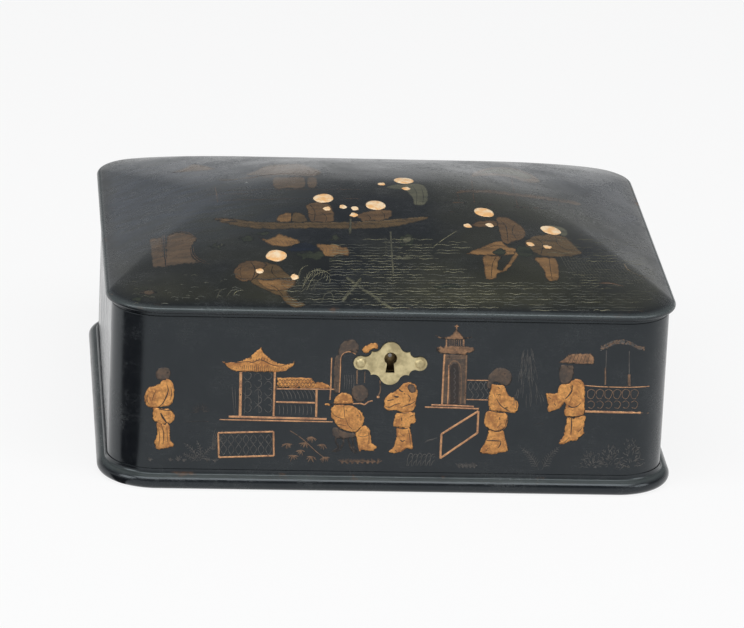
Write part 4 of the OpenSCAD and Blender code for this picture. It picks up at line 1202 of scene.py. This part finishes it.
def tuft(group, panel, x, y, reach, n, rng):
    """Grass blades that rise from one foot."""
    for k in range(n):
        a = math.pi * (0.16 + 0.68 * (k + 0.5) / n) + rng.uniform(-0.1, 0.1)
        r = reach * rng.uniform(0.6, 1.0)
        group.line(panel, [(x + rng.uniform(-3, 3), y), (x + 0.4 * r * math.cos(a),
                                                         y - 0.6 * r * math.sin(a)),
                           (x + r * math.cos(a), y - r * math.sin(a))], 0.26, taper=0.6)


def shrub(group, panel, x, y, half_w, tall, n, rng):
    """A mound of short leaf strokes."""
    for _ in range(n):
        a, r = rng.uniform(0.05, math.pi - 0.05), math.sqrt(rng.uniform(0.03, 1.0))
        u, v = x + half_w * r * math.cos(a), y - tall * r * math.sin(a)
        turn, step = a + rng.uniform(-0.8, 0.8), rng.uniform(4, 8)
        du, dv = step * math.cos(turn), -step * math.sin(turn)
        group.line(panel, [(u - du, v - dv), (u, v - 1), (u + du, v + dv)], 0.28, taper=0.6)


def foliage():
    p = Panel(on_front, 90, 300, 3.748)
    rng = random.Random(11)
    for stem in ([(405, 602), (385, 562), (352, 536)], [(408, 602), (414, 560), (400, 526)],
                 [(412, 602), (438, 566), (460, 546)], [(402, 604), (372, 584), (345, 576)]):
        frond(front_grey, p, stem, 19, 6)
    for x, y, reach, n in [(225, 604, 16, 7), (302, 604, 16, 7), (330, 604, 24, 9), (352, 606, 16, 7),
                           (440, 606, 22, 8), (468, 608, 18, 7)]:
        tuft(front_grey, p, x, y, reach, n, rng)
    for k in range(6):
        front_grey.line(p, [(457 + 2 * k, 562), (460 + 3 * k, 522 + 3 * k), (470 + 7 * k, 482 + 9 * k)], 0.3,
                        taper=0.6)
    for k in range(11):
        a = math.radians(18 * k + 6)
        front_faded.line(p, [(415 + 8 * math.cos(a), 420 - 6 * math.sin(a)),
                             (415 + 22 * math.cos(a), 420 - 18 * math.sin(a)),
                             (415 + 36 * math.cos(a), 418 - 32 * math.sin(a))], 0.3, taper=0.6)
    front_faded.line(p, [(350, 458), (400, 454), (450, 456)], 0.3, taper=0.5)
    front_dim.line(p, [(750, 490), (795, 520), (850, 570), (890, 600)], 0.5, taper=0.4)
    for x, y in [(740, 538), (790, 562), (830, 512), (870, 540), (760, 582), (830, 586), (880, 588),
                 (805, 534)]:
        leaf_star(front_dim, p, x, y, 25, 8, rng)
    for k in range(8):
        tuft(front_dim, p, 945 + 19 * k, 614, 22, 7, rng)
    q = Panel(on_front, 400, 300, 3.748)
    for k in range(6):
        x = 26 + 17 * k
        front_grey.line(q, [(x, 622), (x + 3, 594), (x + 13, 574 + 4 * (k % 2)), (x + 22, 582),
                            (x + 14, 590)], 0.38, taper=0.4)
        front_grey.line(q, [(x + 4, 622), (x + 12, 606), (x + 20, 600)], 0.32, taper=0.6)
    for k in range(4):
        front_grey.line(q, [(92 + 8 * k, 534 - 2 * k), (104 + 8 * k, 526 - 2 * k),
                            (116 + 8 * k, 522 - 2 * k)], 0.3, taper=0.6)
    for k in range(5):
        tuft(front_grey, q, 222 + 14 * k, 630, 24, 7, rng)
    for stem in ([(520, 636), (492, 588), (452, 552)], [(532, 636), (562, 584), (600, 548)]):
        frond(front_grey, q, stem, 24, 9)
    for x, y, half_w, tall, n in [(718, 632, 42, 70, 60), (790, 634, 46, 92, 76), (866, 630, 46, 112, 86)]:
        shrub(front_grey, q, x, y, half_w, tall, n, rng)
    for _ in range(60):
        out, down = rng.uniform(-1, 1), rng.uniform(0, 1)
        x, y, tall = 478 + out * (14 + 46 * down), 178 + 178 * down, rng.uniform(26, 58)
        front_grey.line(q, [(x, y), (x + 6 * out + rng.uniform(-3, 3), y + 0.5 * tall),
                            (x + 10 * out, y + tall)], 0.22, taper=0.6)
    front_faded.line(q, [(498, 470), (520, 462), (542, 466)], 0.3, taper=0.5)


fence()
foliage()

for group in (front_gold, front_lines, front_dim, front_faded, front_grey, front_ink):
    group.finish_piece()


# The scene on the lid

lid_brown = Gilding("lid_brown", "lid", RUST_LINE, BROWN)
lid_rust = Gilding("lid_rust", "lid", RUST_LINE, RUST)
lid_ochre = Gilding("lid_ochre", "lid", TWIG, OCHRE)
lid_olive = Gilding("lid_olive", "lid", REED, OLIVE)
lid_moss = Gilding("lid_moss", "lid", REED_DIM, MOSS)
lid_dusk = Gilding("lid_dusk", "lid", REED_DIM, DUSK)
lid_night = Gilding("lid_night", "lid", SHADE, NIGHT)
lid_ripples = Gilding("lid_ripples", "lid", REED, OLIVE)
lid_ripples_dim = Gilding("lid_ripples_dim", "lid", REED_DIM, MOSS)
lid_chips = Gilding("lid_chips", "lid", CHIP, CHIP)
FLAT = 0.008
FAR_V = 206


def brush(group, panel, outline, height=FLAT, ragged=0.35, edge=2.2):
    """A nearly flat wash, with a smoother rim and more points where it lies far back on the lid."""
    far = panel.v + np.mean([y for _, y in outline]) / panel.scale < FAR_V
    group.fill(panel, outline, height, edge, ragged=ragged * (0.25 if far else 1.0),
               fine=0.45 if far else 1.0)


def stripe(group, panel, pts, width):
    """A flat painted band of the width in millimetres along a line."""
    pts = np.asarray(pts, float)
    way = np.gradient(pts, axis=0)
    across = np.stack([-way[:, 1], way[:, 0]], axis=1) / np.hypot(way[:, 0], way[:, 1])[:, None]
    half = 0.5 * width * panel.scale * PX_PER_MM
    rim = np.vstack([pts + half * across, (pts - half * across)[::-1]])
    brush(group, panel, [tuple(at) for at in rim], ragged=0.2)


def boat():
    p = Panel(on_lid, 100, 155, 6.0)
    brush(lid_brown, p, [(675, 386), (720, 376), (790, 380), (860, 392), (960, 399), (1080, 402),
                         (1250, 399), (1400, 399), (1500, 402), (1571, 398), (1702, 388), (1832, 377),
                         (1937, 366), (1985, 368), (1963, 388), (1872, 408), (1767, 432), (1636, 442),
                         (1505, 445), (1350, 441), (1200, 441), (1060, 446), (930, 442), (830, 428),
                         (750, 410)])
    brush(lid_rust, p, [(680, 384), (740, 377), (800, 385), (830, 398), (760, 402)], ragged=0.2)
    brush(lid_ochre, p, [(1068, 402), (1062, 378), (1090, 352), (1148, 346), (1150, 402)])
    brush(lid_brown, p, [(1154, 402), (1154, 348), (1205, 348), (1234, 372), (1238, 402)])
    lid_night.line(p, [(1151, 350), (1149, 400)], 0.6)
    for k in range(7):
        lid_night.line(p, [(1075 + 24 * k, 356 + 5 * abs(3 - k)), (1080 + 23 * k, 400)], 0.3, taper=0.5)
    lid_ochre.line(p, [(690, 384), (860, 398), (1080, 408), (1400, 405), (1700, 394), (1940, 372)], 0.35)
    lid_night.line(p, [(860, 412), (1080, 420), (1400, 418), (1700, 408), (1880, 390)], 0.35)
    for k in range(26):
        x = 880 + 40 * k
        lid_night.line(p, [(x, 416), (x + 12, 424), (x + 22, 436)], 0.25, taper=0.5)
    brush(lid_rust, p, [(1240, 325), (1234, 302), (1268, 286), (1320, 280), (1372, 292), (1400, 332),
                        (1406, 382), (1388, 402), (1330, 406), (1262, 400), (1246, 356)])
    lid_night.line(p, [(1262, 300), (1290, 340), (1284, 396)], 0.5)
    lid_night.line(p, [(1330, 345), (1360, 372), (1352, 402)], 0.4)
    lid_night.line(p, [(1250, 350), (1300, 362), (1390, 350)], 0.4)
    q = Panel(on_lid, 340, 155, 4.588)
    brush(lid_rust, q, [(92, 292), (74, 280), (108, 262), (160, 252), (220, 250), (240, 264), (232, 286),
                        (192, 302), (104, 304)])
    lid_night.line(q, [(120, 270), (140, 285), (136, 300)], 0.5)
    lid_night.line(q, [(190, 258), (205, 278), (200, 298)], 0.4)
    brush(lid_olive, q, [(44, 290), (54, 290), (52, 360), (40, 360)], ragged=0.15)


def far_shore():
    p = Panel(on_lid, 100, 155, 6.0)
    brush(lid_dusk, p, [(880, 122), (940, 90), (1000, 62), (1110, 52), (1200, 52), (1270, 72), (1330, 100),
                        (1290, 128), (1170, 128), (1080, 124)])
    brush(lid_dusk, p, [(1042, 134), (1120, 130), (1222, 132), (1224, 198), (1130, 200), (1046, 200)])
    brush(lid_dusk, p, [(1244, 136), (1298, 134), (1300, 192), (1248, 194)])
    for k in range(9):
        lid_brown.line(p, [(1052 + 20 * k, 138), (1054 + 20 * k, 194)], 0.5, taper=0.4)
    stripe(lid_rust, p, [(720, 150), (800, 147), (880, 138), (960, 133), (1030, 131)], 0.9)
    lid_brown.line(p, [(880, 140), (1000, 120), (1120, 112), (1320, 118)], 0.6, taper=0.5)
    brush(lid_dusk, p, [(430, 104), (490, 84), (555, 56), (600, 58), (690, 84), (600, 96), (520, 102)])
    lid_brown.line(p, [(430, 106), (520, 92), (560, 56), (620, 68), (700, 84)], 0.4, taper=0.5)
    for pts, w in [([(690, 192), (700, 240), (706, 284)], 0.5), ([(1430, 120), (1440, 196)], 0.8),
                   ([(372, 58), (382, 90)], 0.5), ([(1380, 130), (1384, 190)], 0.4),
                   ([(536, 108), (536, 170)], 0.35), ([(760, 213), (1000, 209), (1300, 206), (1560, 206)],
                                                      0.35), ([(700, 272), (900, 268), (1200, 262),
                                                               (1560, 262)], 0.35),
                   ([(640, 236), (940, 232)], 0.3), ([(1460, 206), (1462, 262)], 0.35),
                   ([(840, 214), (842, 268)], 0.3)]:
        lid_brown.line(p, pts, w, taper=0.4)
    brush(lid_chips, p, [(868, 164), (880, 158), (892, 163), (882, 170)], ragged=0.1)


def basket():
    p = Panel(on_lid, 100, 155, 6.0)
    brush(lid_dusk, p, [(300, 502), (340, 498), (372, 495), (380, 580), (392, 668), (350, 672), (318, 672),
                        (305, 590)])
    brush(lid_dusk, p, [(398, 500), (430, 470), (480, 462), (530, 470), (578, 500), (572, 522), (548, 545),
                        (548, 590), (564, 622), (602, 642), (560, 652), (480, 656), (404, 668), (394, 590)])
    for x in (376, 388):
        lid_brown.line(p, [(x, 482), (x + 4, 580), (x + 14, 672)], 0.45)
    lid_brown.line(p, [(400, 500), (430, 471), (482, 460), (534, 468), (580, 502)], 0.5)
    lid_brown.line(p, [(404, 512), (440, 484), (486, 474), (528, 482), (566, 508)], 0.35)
    lid_rust.line(p, [(546, 545), (552, 590), (580, 626), (620, 646), (656, 652)], 0.6, taper=0.5)
    lid_rust.line(p, [(560, 550), (566, 590), (592, 620), (640, 640)], 0.35, taper=0.5)
    for k in range(13):
        lid_brown.line(p, [(306 + k, 510 + 13 * k), (340 + k, 503 + 13 * k), (370 + k, 508 + 13 * k)], 0.28,
                       taper=0.4)
        lid_brown.line(p, [(402 + k, 512 + 12 * k), (470, 500 + 12 * k), (542, 512 + 11 * k)], 0.28,
                       taper=0.4)
    for k in range(7):
        lid_brown.line(p, [(312 + 9 * k, 505), (322 + 9 * k, 668)], 0.22)
        lid_brown.line(p, [(414 + 20 * k, 486 + abs(3 - k)), (420 + 19 * k, 655)], 0.22)


def pond():
    p = Panel(on_lid, 100, 155, 6.0)
    brush(lid_ochre, p, [(950, 490), (1000, 503), (1040, 494), (1076, 474), (1122, 486), (1162, 500),
                         (1206, 520), (1194, 536), (1150, 548), (1090, 552), (1040, 545), (1000, 530),
                         (970, 508)])
    for k in range(8):
        lid_brown.line(p, [(975 + 26 * k, 512), (1000 + 24 * k, 524), (1018 + 22 * k, 540)], 0.35, taper=0.5)
    brush(lid_night, p, [(1120, 562), (1150, 547), (1212, 522), (1270, 532), (1300, 552), (1280, 576),
                         (1200, 582), (1140, 580)])
    brush(lid_ochre, p, [(1302, 530), (1340, 536), (1400, 532), (1440, 545), (1482, 556), (1500, 590),
                         (1480, 606), (1430, 600), (1400, 612), (1350, 605), (1330, 576), (1302, 552)])
    for k in range(7):
        lid_brown.line(p, [(1320 + 22 * k, 548), (1340 + 20 * k, 565), (1336 + 20 * k, 590)], 0.4, taper=0.5)
    brush(lid_moss, p, [(1340, 612), (1400, 620), (1450, 608), (1440, 630), (1380, 636)])
    for dx, dy, w, h, kind in [(655, 548, 95, 30, lid_moss), (690, 545, 60, 18, lid_olive),
                               (830, 500, 110, 40, lid_moss), (1370, 500, 90, 34, lid_moss),
                               (1170, 600, 180, 60, lid_moss), (900, 470, 130, 20, lid_moss)]:
        brush(kind, p, [(dx, dy), (dx + w * 0.5, dy - h * 0.5), (dx + w, dy), (dx + w * 0.5, dy + h * 0.5)],
              ragged=1.2)


def front_figure():
    p = Panel(on_lid, 100, 155, 6.0)
    brush(lid_brown, p, [(985, 645), (1040, 650), (1080, 665), (1110, 700), (1150, 725), (1176, 746),
                         (1176, 780), (1150, 800), (1122, 816), (1152, 850), (1200, 880), (1238, 896),
                         (1200, 916), (1150, 912), (1110, 886), (1085, 852), (1040, 832), (980, 806),
                         (920, 776), (904, 755), (935, 730), (960, 700)], ragged=0.25)
    brush(lid_rust, p, [(805, 720), (804, 690), (830, 656), (880, 635), (940, 632), (986, 646), (1000, 662),
                        (962, 700), (932, 740), (880, 762), (830, 752)], ragged=0.25)
    brush(lid_ochre, p, [(940, 745), (1000, 748), (1080, 742), (1150, 744), (1172, 760), (1150, 796),
                         (1100, 812), (1040, 815), (980, 790)], ragged=0.3)
    for pts, w in [([(905, 642), (932, 690), (912, 748)], 0.7), ([(1040, 660), (1030, 700), (1062, 735)],
                                                                 0.6), ([(935, 740), (1000, 746),
                                                                         (1080, 740), (1150, 742)], 0.6),
                   ([(820, 690), (860, 670), (920, 675)], 0.45), ([(818, 725), (860, 745), (905, 742)],
                                                                  0.45), ([(1000, 770), (1060, 800),
                                                                           (1100, 850)], 0.5),
                   ([(1085, 770), (1110, 800)], 0.5), ([(850, 660), (840, 700), (852, 740)], 0.35),
                   ([(1120, 830), (1150, 870), (1210, 895)], 0.45), ([(985, 660), (1015, 690)], 0.45)]:
        lid_night.line(p, pts, w, taper=0.5)


def right_pair():
    q = Panel(on_lid, 340, 155, 4.588)
    brush(lid_ochre, q, [(580, 452), (640, 426), (700, 402), (742, 394), (770, 420), (800, 426), (832, 448),
                         (780, 460), (700, 463), (640, 460)], ragged=0.25)
    brush(lid_ochre, q, [(655, 462), (720, 462), (742, 470), (728, 490), (726, 520), (740, 528), (762, 505),
                         (790, 466), (806, 440), (822, 452), (805, 482), (765, 530), (724, 546), (716, 566),
                         (670, 568), (662, 520)], ragged=0.2)
    brush(lid_rust, q, [(715, 290), (760, 282), (810, 308), (846, 340), (852, 370), (830, 390), (800, 396),
                        (770, 411), (744, 400), (735, 370), (724, 330)], ragged=0.25)
    brush(lid_rust, q, [(600, 322), (640, 302), (690, 300), (722, 306), (722, 326), (680, 330), (640, 332)],
          ragged=0.2)
    brush(lid_moss, q, [(700, 446), (725, 430), (756, 434), (762, 452), (730, 462)])
    brush(lid_brown, q, [(855, 390), (880, 375), (930, 364), (1000, 365), (1050, 388), (1082, 420),
                         (1110, 452), (1060, 466), (980, 470), (930, 466), (870, 440), (848, 412)],
          ragged=0.3)
    brush(lid_moss, q, [(812, 420), (850, 416), (884, 440), (880, 464), (840, 468), (812, 452)])
    brush(lid_ochre, q, [(890, 470), (950, 470), (990, 476), (1002, 505), (1006, 560), (990, 578),
                         (950, 576), (934, 530), (906, 495)], ragged=0.25)
    brush(lid_olive, q, [(944, 326), (985, 320), (1030, 335), (1046, 364), (1020, 373), (992, 352)],
          ragged=0.3)
    for pts, w in [([(735, 300), (762, 330), (770, 400)], 0.6), ([(800, 320), (790, 350), (812, 388)], 0.5),
                   ([(610, 318), (660, 314), (715, 318)], 0.4), ([(745, 400), (780, 412), (840, 386)], 0.55),
                   ([(720, 462), (700, 500), (694, 565)], 0.45), ([(900, 380), (930, 410), (920, 460)],
                                                                  0.55), ([(990, 370), (1000, 410),
                                                                           (1050, 440)], 0.5),
                   ([(870, 440), (960, 430), (1060, 462)], 0.5), ([(960, 474), (965, 520), (975, 575)],
                                                                  0.45), ([(660, 430), (720, 415),
                                                                           (760, 422)], 0.4),
                   ([(1040, 395), (1020, 430)], 0.4), ([(860, 398), (890, 420)], 0.45)]:
        lid_night.line(q, pts, w, taper=0.5)
    for k in range(22):
        x = 1010 + 15 * k
        lid_moss.line(q, [(x, 462 + 2 * k), (x + 34, 520 + k), (x + 78, 566 + k)], 0.3, taper=0.4)


def back_scene():
    q = Panel(on_lid, 340, 155, 4.588)
    brush(lid_olive, q, [(206, 148), (236, 136), (290, 131), (340, 128), (372, 131), (396, 150), (406, 186),
                         (400, 216), (380, 231), (340, 228), (332, 200), (312, 175), (290, 160), (242, 158)],
          ragged=0.3)
    for pts in ([(330, 140), (352, 175), (350, 226)], [(370, 140), (382, 180), (380, 224)],
                [(240, 142), (300, 150)]):
        lid_night.line(q, pts, 0.45, taper=0.5)
    brush(lid_dusk, q, [(604, 102), (610, 80), (660, 62), (720, 55), (790, 58), (850, 75), (900, 100),
                        (918, 126), (850, 126), (790, 106), (700, 96), (640, 99)],)
    brush(lid_olive, q, [(625, 92), (680, 68), (750, 62), (820, 72), (880, 100), (850, 110), (780, 92),
                         (700, 84)], ragged=0.6)
    brush(lid_dusk, q, [(548, 160), (600, 158), (680, 159), (800, 173), (900, 184), (1000, 199), (1100, 220),
                        (1092, 232), (1000, 216), (900, 202), (800, 190), (680, 176), (600, 174),
                        (550, 176)])
    stripe(lid_rust, q, [(535, 172), (600, 164), (680, 163), (800, 177), (900, 188), (1000, 203),
                         (1080, 216)], 1.1)
    for pts, w in [([(495, 217), (640, 222), (800, 237), (950, 245)], 0.7),
                   ([(604, 112), (608, 160), (617, 216)], 0.9), ([(664, 112), (672, 152)], 0.7),
                   ([(786, 104), (800, 170), (816, 236)], 0.9), ([(536, 172), (545, 206)], 0.8),
                   ([(905, 128), (900, 160)], 0.6), ([(940, 190), (952, 245)], 0.6),
                   ([(1000, 204), (1010, 262)], 0.6), ([(1060, 240), (1090, 300), (1112, 382)], 0.5),
                   ([(1226, 310), (1250, 380), (1276, 462)], 0.5), ([(500, 260), (640, 268), (760, 280)],
                                                                    0.3)]:
        stripe(lid_rust, q, pts, w)
    lid_ochre.line(q, [(1304, 500), (1316, 520), (1330, 532)], 0.9, taper=0.4)
    lid_rust.line(q, [(1190, 588), (1240, 588), (1300, 602)], 1.6, taper=0.6)
    lid_ochre.line(q, [(1332, 534), (1380, 556), (1440, 572)], 0.45, taper=0.6)
    for x, y, w, h in [(1135, 183, 20, 12), (1180, 215, 22, 12), (1320, 290, 62, 30)]:
        brush(lid_night, q, [(x - w, y), (x, y - h * 0.7), (x + w, y), (x, y + h * 0.8)], height=0.01,
              ragged=0.8)


def poles():
    q = Panel(on_lid, 340, 155, 4.588)
    lid_olive.fill(q, [(20, 566), (34, 556), (250, 704), (236, 716)], 0.12, 0.6, smooth=False, ragged=0.12)
    lid_olive.fill(q, [(92, 560), (108, 566), (14, 680), (-2, 668)], 0.12, 0.6, smooth=False, ragged=0.12)
    for pts in ([(30, 562), (244, 708)], [(100, 566), (4, 672)]):
        lid_night.line(q, pts, 0.4)
    lid_moss.line(q, [(232, 352), (238, 450), (245, 546)], 1.2)
    for k in range(7):
        lid_moss.line(q, [(206, 380 + 12 * k), (222, 392 + 12 * k), (238, 384 + 12 * k)], 0.35, taper=0.4)
    brush(lid_moss, q, [(272, 374), (330, 368), (336, 410), (280, 418)], ragged=0.6)
    brush(lid_olive, q, [(290, 380), (322, 376), (318, 402), (292, 404)], ragged=0.8)
    lid_olive.line(q, [(430, 420), (470, 390), (535, 348)], 0.55, taper=0.4)
    for x, y in [(62, 545), (466, 704)]:
        brush(lid_chips, q, [(x - 4, y), (x, y - 3), (x + 4, y), (x, y + 3)], ragged=0.05)
    lid_olive.line(q, [(1380, 640), (1440, 630), (1500, 622)], 0.35, taper=0.6)
    lid_dusk.line(q, [(455, 722), (520, 708), (590, 700)], 1.1, taper=0.6)


def water():
    """Rows of broken ripples, denser and brighter in the middle, and reeds over them."""
    q = Panel(on_lid, 340, 155, 4.588)
    rng = random.Random(23)
    for row in range(27):
        y = 388 + 12.5 * row
        x = -250 + rng.uniform(-40, 10) if y > 560 else -50
        while x < 1470 - 5 * row:
            length = rng.uniform(55, 165)
            near = 1.0 - abs(x + length / 2 - 300) / 900
            wave = rng.uniform(1.5, 4.0)
            crosses_figures = 560 < x + length / 2 < 1010 and y < 580
            if not crosses_figures and rng.random() < 0.84:
                pts = [(x, y), (x + 0.25 * length, y - wave), (x + 0.5 * length, y + 0.4 * wave),
                       (x + 0.75 * length, y - 0.7 * wave), (x + length, y)]
                bright = rng.random() < 0.30 + 0.5 * near
                (lid_ripples if bright else lid_ripples_dim).line(q, pts, rng.uniform(0.36, 0.62), taper=0.8)
            x += length + rng.uniform(-8, 26)
    brush(lid_ripples, q, [(240, 470), (300, 462), (350, 470), (296, 480)], ragged=0.6)
    brush(lid_ripples_dim, q, [(420, 600), (500, 590), (560, 602), (480, 614)], ragged=0.6)
    p = Panel(on_lid, 100, 155, 6.0)
    for x, y, lean, tall, kind in [(1180, 770, 70, 110, lid_olive), (1190, 790, 20, 90, lid_moss),
                                   (1215, 800, 110, 120, lid_olive), (1240, 810, 150, 120, lid_olive),
                                   (1265, 815, 180, 100, lid_moss), (1290, 820, -20, 90, lid_moss),
                                   (1200, 830, 160, 60, lid_moss), (1330, 880, 60, 60, lid_moss),
                                   (1405, 890, -30, 70, lid_moss), (760, 850, 90, 50, lid_moss),
                                   (700, 860, 60, 60, lid_moss), (800, 840, 60, 30, lid_olive)]:
        kind.line(p, [(x, y), (x + lean * 0.35, y - tall * 0.75), (x + lean, y - tall)], 0.5, taper=0.6)
    for k in range(11):
        t = k / 10
        x, y = 1225 + 150 * t, 770 - 90 * math.sin(math.pi * (0.15 + 0.7 * t))
        lid_olive.line(p, [(x, y), (x + 6, y + 22), (x - 4, y + 44)], 0.35, taper=0.6)
    lid_olive.line(p, [(1225, 780), (1270, 710), (1330, 690), (1385, 720)], 0.5, taper=0.4)
    for _ in range(46):
        x, y = rng.uniform(180, 800), rng.uniform(700, 900)
        if y > 760 or x > 500:
            span = rng.uniform(18, 55)
            (lid_moss if rng.random() < 0.8 else lid_dusk).line(p,
                                                                [(x, y), (x + span / 2, y
                                                                          - rng.uniform(2, 9)),
                                                                 (x + span, y)], rng.uniform(0.35, 0.7),
                                                                taper=0.7)
    brush(lid_dusk, p, [(232, 828), (262, 816), (310, 808), (342, 820), (320, 836), (262, 838)], ragged=0.8)
    brush(lid_moss, p, [(180, 862), (220, 850), (262, 862), (220, 884)], ragged=0.8)


boat()
far_shore()
basket()
pond()
front_figure()
right_pair()
back_scene()
poles()
water()
for group in (lid_brown, lid_rust, lid_ochre, lid_olive, lid_moss, lid_dusk, lid_night, lid_chips,
              lid_ripples, lid_ripples_dim):
    group.finish_piece()


# Faces and hands of bone, let into the lid

FACES = [(323.6, 198.2), (375.5, 205.2), (403.8, 180.5), (276.2, 255.4), (484.1, 212.3), (550.6, 230.2)]
HANDS = [(327.2, 208.7), (342.9, 206.7), (354.9, 208.3), (353.9, 214.8), (381.5, 184.0), (405.9, 188.6),
         (259.6, 271.0), (294.6, 276.9), (467.5, 225.7), (489.9, 225.2), (530.4, 244.1), (547.5, 247.1)]


def bone_discs(name, places, radius, crown, wobble, node):
    verts, faces = [], []
    around, steps = 40, 7
    centres, _ = on_lid(*np.array(places).T)
    for k, (cx, cy, _) in enumerate(centres):
        start = len(verts)
        for j in range(steps + 1):
            t = j / steps
            for i in range(around):
                a = 2 * math.pi * i / around
                at = Vector((math.cos(a) * 1.3, math.sin(a) * 1.3, 5.0 * k))
                r = radius * t * (1 + wobble * noise.noise(at) * t)
                x, y = cx + r * math.cos(a), cy + r * math.sin(a)
                z = float(dome_height(np.array([x]), np.array([y]))[0])
                verts.append((x, y, z + 0.02 + crown * math.sqrt(max(0.0, 1 - t ** 4))))
        for i in range(around):
            x, y, _ = verts[start + steps * around + i]
            verts.append((x, y, float(dome_height(np.array([x]), np.array([y]))[0]) - 0.25))
        for j in range(1, steps + 1):
            for i in range(around):
                n, a = (i + 1) % around, start + j * around
                faces.append((a + i, a + around + i, a + around + n, a + n))
        faces.append(tuple(start + around + i for i in range(around)))
        faces.append(tuple(start + (steps + 1) * around + i for i in reversed(range(around))))
    piece = new_piece(name, verts, faces)
    work = bmesh.new()
    work.from_mesh(piece.data)
    bmesh.ops.delete(work, geom=[v for v in work.verts if not v.link_faces], context="VERTS")
    bmesh.ops.recalc_face_normals(work, faces=work.faces)
    work.to_mesh(piece.data)
    work.free()
    piece.data.materials.append(BONE)
    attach(piece, "lid")
    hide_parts(node)
    return piece


bone_discs("face_discs", FACES, 6.0, 0.35, 0.10, "face_inlays")
bone_discs("hand_discs", HANDS, 2.35, 0.25, 0.35, "hand_inlays")


# Floor, light and backdrop

# The floor runs flat and then up at its rim, in metres, and glows less where it rises
FLOOR_REACH, FLOOR_RISE = 24.0, 8.2
GLOW, RIM_GLOW = 0.85, 0.58
GLOW_FADE = (0.3, 2.0)
RIM_FADE = 6.0

# The dark patch beside the left front corner: its apex, the turns between which it lies, and its reach
DARK_FROM = (-0.149, -0.134)
DARK_TURN = (0.66, 1.74)
DARK_EDGE = 0.07
DARK_REACH = (0.6, 0.8)


def studio_floor():
    """A pale floor that rises at its rim, with a dark patch that only mirror rays see."""
    n = 96
    reach, rise = FLOOR_REACH, FLOOR_RISE
    line = [(0.4, 0.0), (1.0, 0.0), (3.0, 0.0), (8.0, 0.0), (reach, 0.0)]
    line += [(reach + rise * math.sin(a), rise * (1 - math.cos(a))) for a in
             [math.pi / 2 * k / 12 for k in range(1, 13)]]
    verts, faces = [(0, 0, 0)], []
    for r, z in line:
        verts += [(r * math.cos(2 * math.pi * i / n), r * math.sin(2 * math.pi * i / n),
                   z) for i in range(n)]
    faces += [(0, 1 + i, 1 + (i + 1) % n) for i in range(n)]
    for j in range(len(line) - 1):
        for i in range(n):
            k = (i + 1) % n
            a, b = 1 + j * n, 1 + (j + 1) * n
            faces.append((a + i, b + i, b + k, a + k))
    floor = new_piece("studio_floor", [tuple(c / MM for c in v) for v in verts], faces)
    f = Finish("pale_paper")
    ray = f.node("ShaderNodeLightPath")
    seen = f.sum("MAXIMUM", f.sum("MAXIMUM", ray.outputs["Is Camera Ray"], ray.outputs["Is Glossy Ray"]),
                 ray.outputs["Is Transmission Ray"])
    turn = f.sum("ARCTAN2", f.sum("SUBTRACT", DARK_FROM[0], f.part("X")),
                 f.sum("SUBTRACT", DARK_FROM[1], f.part("Y")))
    patch = f.sum("MULTIPLY", f.between(turn, DARK_TURN[0] - DARK_EDGE, DARK_TURN[0] + DARK_EDGE),
                  f.between(turn, DARK_TURN[1] - DARK_EDGE, DARK_TURN[1] + DARK_EDGE, 1.0, 0.0))
    far = f.sum("MAXIMUM", f.sum("ABSOLUTE", f.part("X")), f.sum("ABSOLUTE", f.part("Y")))
    patch = f.sum("MULTIPLY", patch, f.between(far, *DARK_REACH, 1.0, 0.0))
    patch = f.sum("MULTIPLY", patch, ray.outputs["Is Glossy Ray"])
    seen = f.sum("MULTIPLY", seen, f.between(patch, 0.0, 1.0, 1.0, 0.0))
    f.coat(Base_Color=f.mix(patch, (0.80, 0.80, 0.80), (0.04, 0.04, 0.045)), Roughness=0.9,
           Specular_IOR_Level=0.0)
    glow = f.node("ShaderNodeEmission")
    glow.inputs["Color"].default_value = (1, 1, 1, 1)
    glow.inputs["Strength"].default_value = 1.0
    blend = f.node("ShaderNodeMixShader")
    fade = f.sum("MULTIPLY", f.between(f.part("Z"), *GLOW_FADE, GLOW, RIM_GLOW),
                 f.between(f.part("Z"), RIM_FADE, FLOOR_RISE, 1.0, 0.6))
    f.feed(blend.inputs[0], f.sum("MULTIPLY", seen, fade))
    f.feed(blend.inputs[1], f.shader.outputs[0])
    f.feed(blend.inputs[2], glow.outputs[0])
    out = f.tree.nodes["Material Output"]
    f.tree.links.new(blend.outputs[0], out.inputs["Surface"])
    floor.data.materials.append(f.material)


def lamp(name, place, aim, size, power):
    data = bpy.data.lights.new(name, "AREA")
    data.shape = "RECTANGLE"
    data.size, data.size_y = size
    data.energy = power
    lit = bpy.data.objects.new(name, data)
    lit.location = place
    lit.rotation_euler = (Vector(aim) - Vector(place)).to_track_quat("-Z", "Y").to_euler()
    scene.collection.objects.link(lit)


studio_floor()
world = bpy.data.worlds.new("studio")
world.use_nodes = True
world.node_tree.nodes["Background"].inputs["Color"].default_value = (0.92, 0.96, 1.0, 1)
world.node_tree.nodes["Background"].inputs["Strength"].default_value = 0.26
scene.world = world
lamp("overhead", (0.0, -1.15, 2.5), (0, 0, 0), (3.0, 1.5), 50)
lamp("left_window", (-2.6, -1.4, 1.7), (0, 0, 0.05), (1.6, 1.6), 30)
lamp("right_window", (2.6, -1.6, 1.5), (0, 0, 0.05), (1.6, 1.4), 22)

scene.view_settings.view_transform = "Standard"
